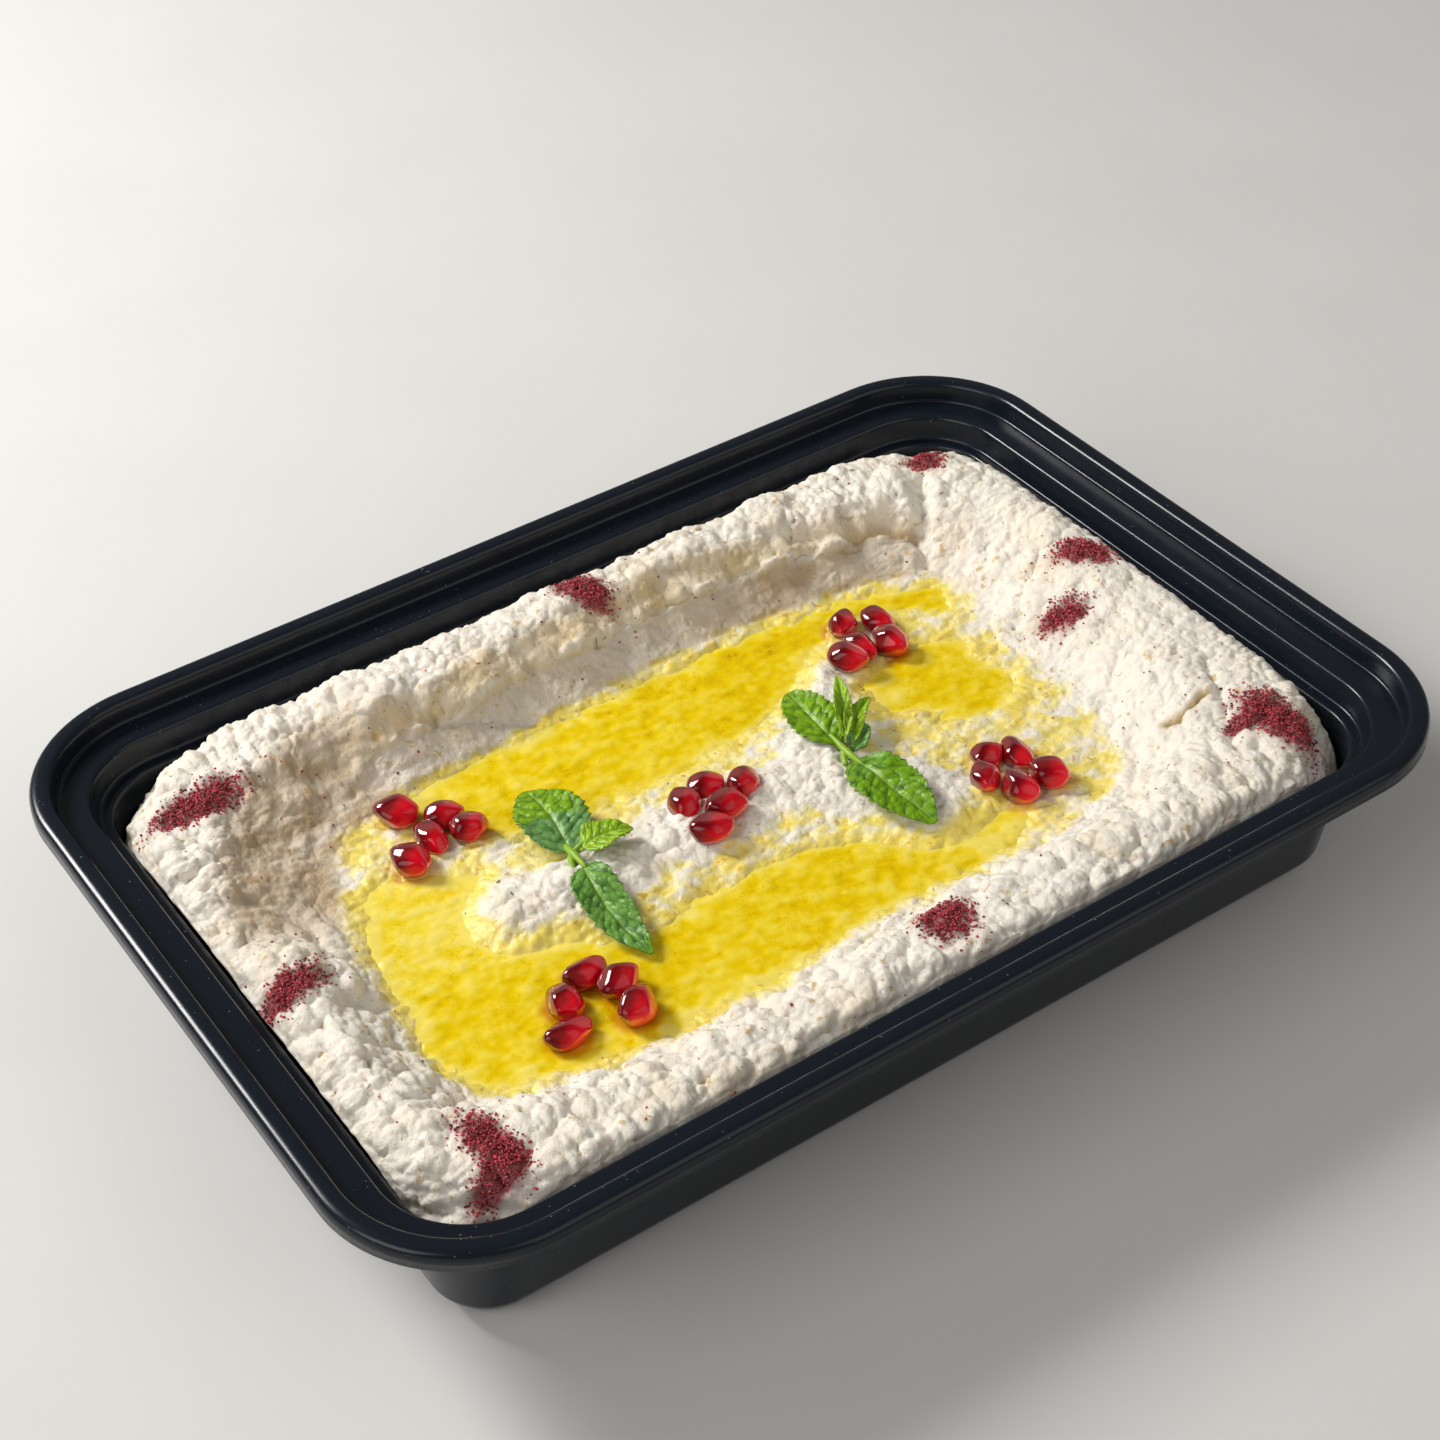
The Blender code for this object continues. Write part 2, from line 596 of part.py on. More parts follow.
def sumac_flakes(dip, material):
    """Coarse flakes of sumac half sunk in the banks, a few to each sprinkled patch."""
    flakes = add_collection("sumac_flakes")
    surface = BVHTree.FromObject(dip, bpy.context.evaluated_depsgraph_get())
    down = Vector((0, 0, -1))
    rng = np.random.default_rng(21)
    for x, y, spread in SUMAC:
        for k in range(SUMAC_FLAKES):
            turn = 2 * math.pi * (k + rng.random() * 0.5) / SUMAC_FLAKES
            away = spread * rng.uniform(0.35, 0.8)
            above = Vector((x + away * math.cos(turn), y + away * math.sin(turn), TRAY_HEIGHT)) * MM
            size = rng.uniform(*SUMAC_SIZE)
            flake = bmesh.new()
            bmesh.ops.create_icosphere(flake, subdivisions=1, radius=size * MM)
            bmesh.ops.scale(flake, vec=(1.0, 0.8, 0.6), verts=flake.verts)
            spin = Matrix.Rotation(rng.uniform(0, 2 * math.pi), 3, "Z")
            bmesh.ops.rotate(flake, verts=flake.verts, cent=(0, 0, 0), matrix=spin)
            bmesh.ops.translate(flake, vec=surface.ray_cast(above, down)[0], verts=flake.verts)
            mesh = bpy.data.meshes.new("flake")
            flake.to_mesh(mesh)
            flake.free()
            add_object("flake", mesh, flakes, material)
    return flakes


def main():
    clear_scene()
    part = add_collection("baba_ganoush_tray")
    seats = add_collection("seats")
    recesses = add_collection("recesses")
    cream = make_material("cream_dip", CREAM, 0.6)
    oil = make_material("olive_oil", OIL, 0.08)
    red = make_material("pomegranate", ARIL_RED, 0.12)
    green = make_material("mint_leaf", LEAF_GREEN, 0.4)
    black = make_material("black_plastic", TRAY_BLACK, 0.25)

    make_tray(part, black)
    dip = make_dip(part, cream)
    flakes = sumac_flakes(dip, cream)
    boolean_with(dip, "UNION", flakes)
    remove_collection(flakes)
    make_arils(part, red, seats)
    pools = []
    for name, anchors in POOLS.items():
        outline = closed_curve(anchors, steps=2)
        pools.append(flat_slab(name, outline, OIL_LEVEL - OIL_DEPTH, OIL_LEVEL, part, oil))
        wider = outward(outline, SEAT_GAP)
        flat_slab(name + "_recess", wider, OIL_LEVEL - OIL_DEPTH - GAP, RECESS_TOP, recesses, oil)
    boolean_with(dip, "DIFFERENCE", recesses)
    remove_collection(recesses)
    for thing in [dip] + pools:
        boolean_with(thing, "DIFFERENCE", seats)
    remove_collection(seats)
    make_mint(part, green)


main()
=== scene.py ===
# %% [markdown]
# # Baba ganoush in a black takeaway tray
#
# The dish is a coarse cream of roasted aubergine and tahini, spread in a pressed black tray, with a
# hollow of olive oil, pomegranate arils, two sprigs of mint and pinches of sumac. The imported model
# gives every piece its place and size. This script makes the surfaces that a cook would recognise:
# each piece is a function of two numbers, worked out for a whole grid of points at once.

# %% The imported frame
import math

import bpy
import numpy as np
from mathutils import Matrix, Vector


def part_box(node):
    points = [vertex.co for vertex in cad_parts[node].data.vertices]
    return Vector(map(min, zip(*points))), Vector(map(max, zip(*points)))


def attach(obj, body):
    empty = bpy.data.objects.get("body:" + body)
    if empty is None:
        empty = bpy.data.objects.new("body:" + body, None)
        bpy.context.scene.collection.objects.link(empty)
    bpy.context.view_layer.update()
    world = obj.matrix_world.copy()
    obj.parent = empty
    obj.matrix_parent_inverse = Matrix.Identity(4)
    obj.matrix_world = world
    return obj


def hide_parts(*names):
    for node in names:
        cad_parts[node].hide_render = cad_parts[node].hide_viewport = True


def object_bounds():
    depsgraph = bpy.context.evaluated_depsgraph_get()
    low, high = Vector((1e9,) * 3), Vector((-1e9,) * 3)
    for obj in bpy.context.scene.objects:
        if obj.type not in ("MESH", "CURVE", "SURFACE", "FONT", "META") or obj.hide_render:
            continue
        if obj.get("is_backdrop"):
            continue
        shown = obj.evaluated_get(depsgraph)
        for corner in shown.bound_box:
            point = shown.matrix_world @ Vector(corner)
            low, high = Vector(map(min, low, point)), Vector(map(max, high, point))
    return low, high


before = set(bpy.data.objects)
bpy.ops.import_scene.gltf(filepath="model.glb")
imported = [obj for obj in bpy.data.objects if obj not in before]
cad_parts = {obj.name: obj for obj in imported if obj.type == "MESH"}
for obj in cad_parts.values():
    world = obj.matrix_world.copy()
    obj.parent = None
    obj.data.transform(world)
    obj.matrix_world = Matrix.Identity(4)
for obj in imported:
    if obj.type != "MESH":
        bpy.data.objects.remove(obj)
cad_low, cad_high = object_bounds()
MM = 0.001
print("packed nodes:", len(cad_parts))
print("size in mm:", [round(side / MM, 1) for side in cad_high - cad_low])

# %% [markdown]
# ## From arrays to a mesh
#
# Every new piece arrives as an array of points in millimetres and an array of faces. One helper
# puts them into a mesh at the origin, so that patterns on Object coordinates stay where they are.
# It could use bmesh, but from_pydata takes the arrays at once. Numbers that a finish needs at each
# point, such as the depth of oil, go in as attributes.

# %% Mesh helpers
def add_piece(name, points, faces, finish, attributes=None):
    """Makes a smooth-shaded mesh object of points in millimetres, with named numbers per point."""
    mesh = bpy.data.meshes.new(name)
    mesh.from_pydata((np.asarray(points) * MM).tolist(), [], [list(face) for face in faces])
    mesh.update()
    for label, values in (attributes or {}).items():
        layer = mesh.attributes.new(label, "FLOAT", "POINT")
        layer.data.foreach_set("value", np.asarray(values, np.float32).ravel())
    mesh.shade_smooth()
    mesh.materials.append(finish)
    piece = bpy.data.objects.new(name, mesh)
    bpy.context.scene.collection.objects.link(piece)
    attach(piece, "root")
    sides = sum(len(face) - 2 for face in faces)
    print(f"{name}: {len(points)} points, {sides} triangles")
    return piece


def grid_quads(rows, columns, ring=False):
    """Quads between neighbouring points of a grid with this many rows and columns of points. In a
    ring the last column joins the first."""
    i, j = np.meshgrid(np.arange(rows - 1), np.arange(columns if ring else columns - 1), indexing="ij")
    a = i * columns + j
    b = i * columns + (j + 1) % columns
    return np.stack([a, b, b + columns, a + columns], -1).reshape(-1, 4)


def grid_normals(points):
    """Unit normals of a grid of points: the cross product of its two directions at each point."""
    along_columns = np.gradient(points, axis=1)
    along_rows = np.gradient(points, axis=0)
    normals = np.cross(along_columns, along_rows)
    length = np.linalg.norm(normals, axis=2, keepdims=True)
    return normals / np.maximum(length, 1e-9)


def closed_sheet(top, bottom):
    """Points and faces of a solid between two grids of the same size: both skins and the rim."""
    rows, columns = top.shape[:2]
    count = rows * columns
    upper = grid_quads(rows, columns)
    number = np.arange(count).reshape(rows, columns)
    rim = np.concatenate([number[0, :-1], number[:-1, -1], number[-1, :0:-1], number[:0:-1, 0]])
    ahead = np.roll(rim, -1)
    wall = np.stack([ahead, rim, rim + count, ahead + count], 1)
    points = np.concatenate([top.reshape(-1, 3), bottom.reshape(-1, 3)])
    return points, np.concatenate([upper, upper[:, ::-1] + count, wall])


# %% [markdown]
# ## Noise and distances
#
# Food is never smooth. Two kinds of noise carry all the unevenness here: gentle waves, and round
# lumps packed side by side as in a coarse paste. Both work on whole arrays. Distances to outlines
# say where the hollow, the pools of oil and the spoon's furrows are.

# %% Noise
LATTICE = 128


def ease(t):
    """Rises from 0 to 1 with level ends."""
    t = np.clip(t, 0, 1)
    return t * t * (3 - 2 * t)


def waves(x, y, size, seed):
    """Smooth noise of about -1 to 1. Each corner of a square lattice has a random slope, and a point
    blends the heights of the four slopes round it."""
    turn = np.random.default_rng(seed).uniform(0, 2 * math.pi, (LATTICE, LATTICE))
    u, v = x / size, y / size
    i, j = np.floor(u).astype(int), np.floor(v).astype(int)
    u, v = u - i, v - j
    total = np.zeros_like(u)
    for right in (0, 1):
        for up in (0, 1):
            slope = turn[(i + right) % LATTICE, (j + up) % LATTICE]
            height = np.cos(slope) * (u - right) + np.sin(slope) * (v - up)
            share_x = ease(u) if right else 1 - ease(u)
            share_y = ease(v) if up else 1 - ease(v)
            total += height * share_x * share_y
    return 1.6 * total


def pebbles(x, y, size, seed):
    """Round lumps packed side by side, from 0 in the gaps to 1: at each point the highest of the
    domes that stand at random places in the lattice squares round it."""
    rng = np.random.default_rng(seed)
    place_x, place_y = rng.uniform(0.05, 0.95, (2, LATTICE, LATTICE))
    rise = rng.uniform(0.5, 1.0, (LATTICE, LATTICE))
    u, v = x / size, y / size
    i, j = np.floor(u).astype(int), np.floor(v).astype(int)
    best = np.zeros_like(u)
    for right in (-1, 0, 1):
        for up in (-1, 0, 1):
            a, b = (i + right) % LATTICE, (j + up) % LATTICE
            far = (i + right + place_x[a, b] - u) ** 2 + (j + up + place_y[a, b] - v) ** 2
            best = np.maximum(best, rise[a, b] * np.sqrt(np.clip(1 - far / 0.85, 0, 1)))
    return best


# %% Distances
def closed_curve(anchors, steps=4):
    """A smooth closed curve through the anchors, each stretch a cubic that leaves an anchor parallel
    to the line between its two neighbours."""
    p1 = np.asarray(anchors, float)[:, None]
    p0, p2, p3 = np.roll(p1, 1, 0), np.roll(p1, -1, 0), np.roll(p1, -2, 0)
    t = (np.arange(steps) / steps)[None, :, None]
    curve = 0.5 * (
        2 * p1 + (p2 - p0) * t + (2 * p0 - 5 * p1 + 4 * p2 - p3) * t**2
        + (3 * p1 - p0 - 3 * p2 + p3) * t**3
    )
    return curve.reshape(-1, 2)


def line_distance(x, y, route):
    """Distance to the nearest place on a route of straight stretches."""
    best = np.full(x.shape, 1e9)
    for (ax, ay), (bx, by) in zip(route[:-1], route[1:]):
        dx, dy = bx - ax, by - ay
        along = np.clip(((x - ax) * dx + (y - ay) * dy) / (dx * dx + dy * dy), 0, 1)
        best = np.minimum(best, (x - ax - along * dx) ** 2 + (y - ay - along * dy) ** 2)
    return np.sqrt(best)


def outline_distance(x, y, outline):
    """Distance to a closed outline, positive outside it and negative inside. A point is inside
    when a line from it to the right crosses the outline an odd number of times."""
    route = np.vstack([outline, outline[:1]])
    inside = np.zeros(x.shape, bool)
    for (ax, ay), (bx, by) in zip(route[:-1], route[1:]):
        if ay != by:
            crossing = ax + (y - ay) * (bx - ax) / (by - ay)
            inside ^= ((ay > y) != (by > y)) & (x < crossing)
    far = line_distance(x, y, route)
    return np.where(inside, -far, far)


# %% [markdown]
# ## The tray's sizes
#
# The tray is pressed from one black sheet: a rolled lip, a ledge where a lid's rim would seal, a
# second small step, and a wall that leans inwards down to the floor. Its outline is a rectangle
# with round corners, and every level of it is the same outline moved in by some amount.

# %% Tray sizes in millimetres
TRAY_LENGTH, TRAY_WIDTH, TRAY_HEIGHT = ((cad_high - cad_low) / MM)[:]
TRAY_WALL = 0.8
RIM_CORNER, LEAST_CORNER = 27.0, 9.0
# The upper side of the wall, from the lip's skirt to the floor: (inset from the rim's edge, depth)
TRAY_PROFILE = (
    (0.0, 3.6), (0.0, 1.3), (0.4, 0.4), (1.3, 0.0), (3.2, 0.0), (3.9, 0.5), (4.1, 1.2), (4.3, 4.1),
    (4.7, 4.5), (9.7, 4.6), (10.2, 5.1), (10.8, 9.2), (11.2, 9.6), (12.9, 9.6), (13.4, 10.2),
    (17.0, 33.0), (19.0, 36.0), (22.5, TRAY_HEIGHT - TRAY_WALL),
)
# The wall leans evenly between these two points of the profile
WALL_HEAD, WALL_HEEL = TRAY_PROFILE[14], TRAY_PROFILE[15]
WALL_INSET, WALL_TOP = WALL_HEAD[0], TRAY_HEIGHT - WALL_HEAD[1]
WALL_FOOT = TRAY_HEIGHT - WALL_HEEL[1]
WALL_LEAN = (WALL_HEEL[0] - WALL_INSET) / (WALL_TOP - WALL_FOOT)
# Room left between two pieces that lie against each other
GAP = 0.1


def round_box_distance(x, y, half_length, half_width, corner):
    """Distance to a rectangle with round corners, positive inside it."""
    over_x, over_y = np.abs(x) - half_length + corner, np.abs(y) - half_width + corner
    outside = np.hypot(np.maximum(over_x, 0), np.maximum(over_y, 0))
    return corner - outside - np.minimum(np.maximum(over_x, over_y), 0)


def square_to_outline(u, v, inset):
    """Maps a square onto the tray's outline at an inset. A point keeps its share of the way from
    the middle to the edge, and edge points near a corner move onto its arc."""
    half_x, half_y = TRAY_LENGTH / 2 - inset, TRAY_WIDTH / 2 - inset
    corner = np.maximum(RIM_CORNER - inset, LEAST_CORNER)
    share = np.maximum(np.abs(u), np.abs(v))
    safe = np.maximum(share, 1e-9)
    x, y = half_x * u / safe, half_y * v / safe
    to_end, to_side = half_x - np.abs(x), half_y - np.abs(y)
    on_long = to_side <= to_end
    along = np.where(on_long, to_end, to_side)
    turn = (1 - np.clip(along / corner, 0, 1)) * math.pi / 4
    turn = np.where(on_long, math.pi / 2 - turn, turn)
    arc_x = (half_x - corner + corner * np.cos(turn)) * np.sign(x)
    arc_y = (half_y - corner + corner * np.sin(turn)) * np.sign(y)
    near = along < corner
    return share * np.where(near, arc_x, x), share * np.where(near, arc_y, y)


print("tray in mm:", round(TRAY_LENGTH, 1), round(TRAY_WIDTH, 1), round(TRAY_HEIGHT, 1))

# %% [markdown]
# ## The relief of the dip
#
# The cook filled the tray, then pressed a hollow with the back of a spoon: banks all round, a
# ridge left across the middle, and a smooth swept slope at the back under a ragged step. It could be
# sculpted by hand, but a height worked out at every place of the tray can be asked for again, so it
# also cuts the oil and seats the mint. It is built from broad to fine: banks from the distance to
# the hollow's edge, furrows and folds along short routes, then lumps of paste.

# %% Where the hollow, the pools and the furrows are
OIL_LEVEL, CREAM_LEVEL = 22.5, 22.9
HOLLOW = closed_curve((
    (-78, -12), (-79, -25), (-75, -38), (-62, -42), (-45, -45), (-20, -45), (5, -43), (30, -44),
    (50, -42), (61, -35), (66, -20), (68, -4), (67, 8), (71, 22), (69, 30), (58, 36), (30, 40),
    (0, 40), (-30, 38), (-50, 36), (-64, 31), (-71, 20), (-75, 6),
))
POOLS = {
    "olive_oil_back": closed_curve((
        (-52, 29), (-50, 35), (-38, 37), (-10, 38), (20, 38), (45, 36), (64, 31), (69, 26), (66, 20),
        (59, 25), (48, 30), (38, 25), (30, 18), (18, 14), (4, 12), (-12, 11), (-26, 12), (-40, 16),
    )),
    "olive_oil_left": closed_curve((
        (-77, -12), (-78, -24), (-74, -36), (-60, -40), (-42, -43), (-18, -43), (4, -41), (24, -41),
        (40, -37), (36, -30), (22, -32), (12, -24), (0, -19), (-18, -18), (-32, -20), (-44, -13),
        (-54, -8), (-54, 2), (-47, 9), (-55, 14), (-67, 19), (-73, 8),
    )),
    "olive_oil_right": closed_curve((
        (36, 13), (36, 3), (43, -3), (47, -9), (58, -9), (63, -3), (62, 8), (58, 15), (46, 15),
    )),
}
# How far the cream lies lower under a pool
POOL_DROP = 1.5
# Crest heights of the banks and the widths of their inner slopes
BANK_NEAR, BANK_LEFT, BANK_BACK = (30.8, 12.0), (31.2, 12.0), (33.2, 19.0)
BANK_RIGHT, BANK_SCOOP = (33.4, 24.0), (31.0, 27.0)
# The swept slope: how far it runs, how high, and the ragged step above it
SWEPT_RUN, SWEPT_TOP, SWEPT_STEP = 8.0, 27.6, 1.7
RIDGE = ((-48, -3), (-30, -6), (-6, -2), (14, -6), (26, 6), (33, 18))
RIDGE_SPUR = ((14, -6), (24, -16), (29, -26))
RIDGE_SPREAD, RIDGE_RISE = 8.5, 2.1
# Furrows and folds in the banks: route, width, depth. The crack and the pocket also get painted shade in
# the cream's colour.
CRACK = ((80, -37.6), (75, -38.8), (71, -38))
POCKET = ((60, 45), (66, 44), (72, 39.5))
FURROWS = (
    (((80, 47), (75, 40), (71, 34)), 1.8, 1.9),
    (((-38, 47), (-28, 44), (-19, 40)), 1.8, 1.5),
    (CRACK, 0.7, 2.2),
    (((86, -31), (81, -42), (74, -52)), 1.3, 1.1),
    (((60, 44), (50, 50), (36, 55)), 1.8, 0.9),
    (((-86, 22), (-80, 12), (-84, -2)), 1.6, 1.0),
    (((94, 12), (86, 16), (80, 12)), 1.0, 1.2),
    (POCKET, 1.7, 2.4),
)
# Where the dip meets the wall: its height there, how round its corners are, how far in it rolls over
# and how steeply it falls further out
WALL_TOUCH, MOUND_CORNER, MOUND_ROLL, MOUND_FALL = 28.6, 30.0, 7.0, 1.3
MOUND_TOP, SOFT_JOIN = 36.0, 0.8
LUMPS, LUMP_SPREAD, LUMP_RISE = 260, (4.0, 8.0), 0.9

# %% Broad forms of the dip
def broad_lumps(x, y):
    """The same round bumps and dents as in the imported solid, scattered over the tray."""
    rng = np.random.default_rng(7)
    place = rng.uniform((-100, -67), (100, 67), (LUMPS, 2))
    spread = rng.uniform(*LUMP_SPREAD, LUMPS)
    rise = rng.uniform(-0.6, 1.0, LUMPS) * LUMP_RISE
    total = np.zeros_like(x)
    for (px, py), wide, high in zip(place, spread, rise):
        total += high * np.exp(-((x - px) ** 2 + (y - py) ** 2) / wide**2)
    return total


def bank_heights(x, y, away, ragged):
    """Height of the banks: each side rises from the cream's level to its own crest over its own run.
    Also the share of the swept slope at the back, and of the scoop at the back left."""
    back = ease((y - 8) / 26) * ease((82 - x) / 30)
    near = ease((-y - 12) / 26)
    right = ease((x - 38) / 26) * (1 - back)
    scoop = ease((-x - 40) / 18) * ease((y - 2) / 18)
    weights = np.stack([near, 0.4 + 0 * x, back * (1 - scoop), right, 2 * scoop])
    sides = np.array([BANK_NEAR, BANK_LEFT, BANK_BACK, BANK_RIGHT, BANK_SCOOP])
    crest, run = np.tensordot(sides.T, weights, 1) / weights.sum(0)
    bank = CREAM_LEVEL + (crest - CREAM_LEVEL) * ease(ragged / run)
    swept = CREAM_LEVEL + (SWEPT_TOP - CREAM_LEVEL) * np.clip(away / SWEPT_RUN, 0, 1) ** 1.2
    last_rise = BANK_BACK[0] - SWEPT_TOP - SWEPT_STEP
    above = ease((ragged - SWEPT_RUN) / 1.0) * SWEPT_STEP + ease((ragged - SWEPT_RUN) / 8.0) * last_rise
    share = back * (1 - scoop)
    return bank * (1 - share) + (swept + above) * share, share, scoop


def hollow_heights(x, y, away, stray):
    """Height of the hollow's floor: a bell across the ridge's distance. Also that distance."""
    ridge = np.minimum(line_distance(x, y, RIDGE), line_distance(x, y, RIDGE_SPUR))
    ridge = ridge + 1.5 * stray + 3.5 * ease((y - 9) / 8)
    rise = RIDGE_RISE * np.exp(-((np.maximum(ridge, 0) / RIDGE_SPREAD) ** 2)) * ease(-away / 8)
    return CREAM_LEVEL + rise, ridge


def rolled_over(height, edge):
    """A soft minimum of the height and of a round shoulder that falls towards the tray's wall."""
    roll = WALL_TOUCH + (MOUND_TOP - WALL_TOUCH) * ease(edge / MOUND_ROLL) ** 0.7
    roll = np.where(edge < 0, WALL_TOUCH + MOUND_FALL * edge, roll)
    return -SOFT_JOIN * np.log(np.exp(-height / SOFT_JOIN) + np.exp(-roll / SOFT_JOIN))


def dip_form(x, y):
    """The dip's heights before its fine lumps, with the distances that the finishes need."""
    stray = 1.6 * waves(x, y, 9.0, 1) + 1.1 * waves(x, y, 4.0, 2)
    away = outline_distance(x, y, HOLLOW)
    bank, share, scoop = bank_heights(x, y, away, away + stray)
    inner, ridge = hollow_heights(x, y, away, stray)
    pool = np.min([outline_distance(x, y, outline) for outline in POOLS.values()], axis=0)
    wet = pool + 1.1 * stray
    height = np.where(away > 0, bank, inner)
    climb = height - CREAM_LEVEL
    bumpy = ease((away - 2) / 8) * (1 - 0.6 * share * ease((16 - away) / 4))
    height = height + broad_lumps(x, y) * bumpy
    height = height - POOL_DROP * ease((2.2 - wet) / 7.0) * ease((3 - away) / 3)
    for route, width, depth in FURROWS:
        height = height - depth * np.exp(-((line_distance(x, y, route) / width) ** 2))
    half_x, half_y = TRAY_LENGTH / 2 - WALL_INSET, TRAY_WIDTH / 2 - WALL_INSET
    edge = round_box_distance(x, y, half_x, half_y, MOUND_CORNER)
    rolled = rolled_over(height, edge)
    return {
        "height": rolled, "climb": climb + np.maximum(height - rolled, 0), "away": away, "pool": wet,
        "swept": share, "edge": edge, "ridge": ridge, "scoop": scoop,
    }


# %% Fine lumps and strokes of the paste
# Packed lumps from big to crumbs: size in millimetres and seed
LUMP_SIZES = ((7.0, 13), (3.4, 14), (2.0, 15), (1.15, 19))
CLIMB_SHARE = 0.85


def packed_lumps(x, y, warp_x, warp_y):
    """Lumps of four sizes packed side by side, bigger on the near and left banks, and broad uneven
    swells on the far one. Also the crumbs alone."""
    banks = np.maximum(1.1 * ease((-y - 32) / 16), 0.45 * ease((y - 40) / 10))
    chunky = np.maximum(ease((30 - x) / 90), banks)
    patch = 0.5 + 0.5 * waves(x, y, 11.0, 18)
    big, middle, small, crumb = [pebbles(warp_x, warp_y, size, seed) - 0.5 for size, seed in LUMP_SIZES]
    grainy = (0.4 + 1.7 * chunky) * big + (0.8 + 1.1 * chunky) * middle
    grainy += (0.65 + 0.45 * patch) * small + (0.30 + 0.30 * patch) * crumb
    swell = 0.75 * waves(warp_x, warp_y, 9.0, 41) + 0.45 * waves(warp_x * 0.8, warp_y, 3.6, 42)
    return grainy + ease((y - 36) / 8) * swell, crumb


def spoon_strokes(x, y, warp_x, warp_y, crumb):
    """Low waves and lumps, drawn out along the tray as the spoon's back leaves them."""
    along = x + 0.25 * y
    strokes = 0.24 * waves(along * 0.55, y, 1.5, 16) + 0.28 * waves(along * 0.6, y, 3.2, 17)
    return strokes + (0.62 * (pebbles(warp_x * 0.8, warp_y, 1.9, 20) - 0.5) + 0.30 * crumb)


def paste(x, y, form):
    """Fine lumps of the paste, in millimetres along the surface's normal: packed lumps on the banks
    and the ridge, and the spoon's strokes in the hollow and on the swept slope. The climb of a slope
    is added to the way across it, so that lumps stay round where it is steep."""
    away, climb = form["away"], CLIMB_SHARE * form["climb"]
    warp_x = x + 0.5 * waves(x, y, 4.0, 11) + climb * np.clip((np.abs(x) - 50) / 25, 0, 1) * np.sign(x)
    warp_y = y + 0.5 * waves(x, y, 4.0, 12) + climb * np.clip((np.abs(y) - 22) / 18, 0, 1) * np.sign(y)
    grainy, crumb = packed_lumps(x, y, warp_x, warp_y)
    strokes = spoon_strokes(x, y, warp_x, warp_y, crumb)
    smooth_slope = form["swept"] * ease((SWEPT_RUN + 0.5 - away) / 1.5)
    band = form["swept"] * ease((away - SWEPT_RUN - 0.5) / 1.5) * ease((SWEPT_RUN + 7 - away) / 4)
    dragged = form["scoop"] * ease((21 - away) / 6)
    rough = ease((away + 3) / 5) * (1 - 0.7 * smooth_slope) * (1 - 0.3 * band) * (1 - 0.7 * dragged)
    ridge = np.exp(-((np.maximum(form["ridge"], 0) / 6.5) ** 2)) * ease(-away / 6)
    rough = np.maximum(rough, ridge * ease((form["pool"] + 2) / 5))
    return rough * grainy * (1 + 0.45 * ridge) + (1 - rough) * strokes


sample = dip_form(np.array([0.0, -60.0, 90.0]), np.array([25.0, -25.0, 0.0]))["height"].round(1)
print("heights in mm under the back pool, under the left pool and on the right bank:", sample)

# %% [markdown]
# ## Finishes as expressions
#
# A material is a little program. One class wraps a socket, so that a mask can be written as a sum
# and a product, and any other node is made by one method that takes the node's type, its settings
# and what goes into its sockets. Noise reads Object coordinates, which here are the tray's own.

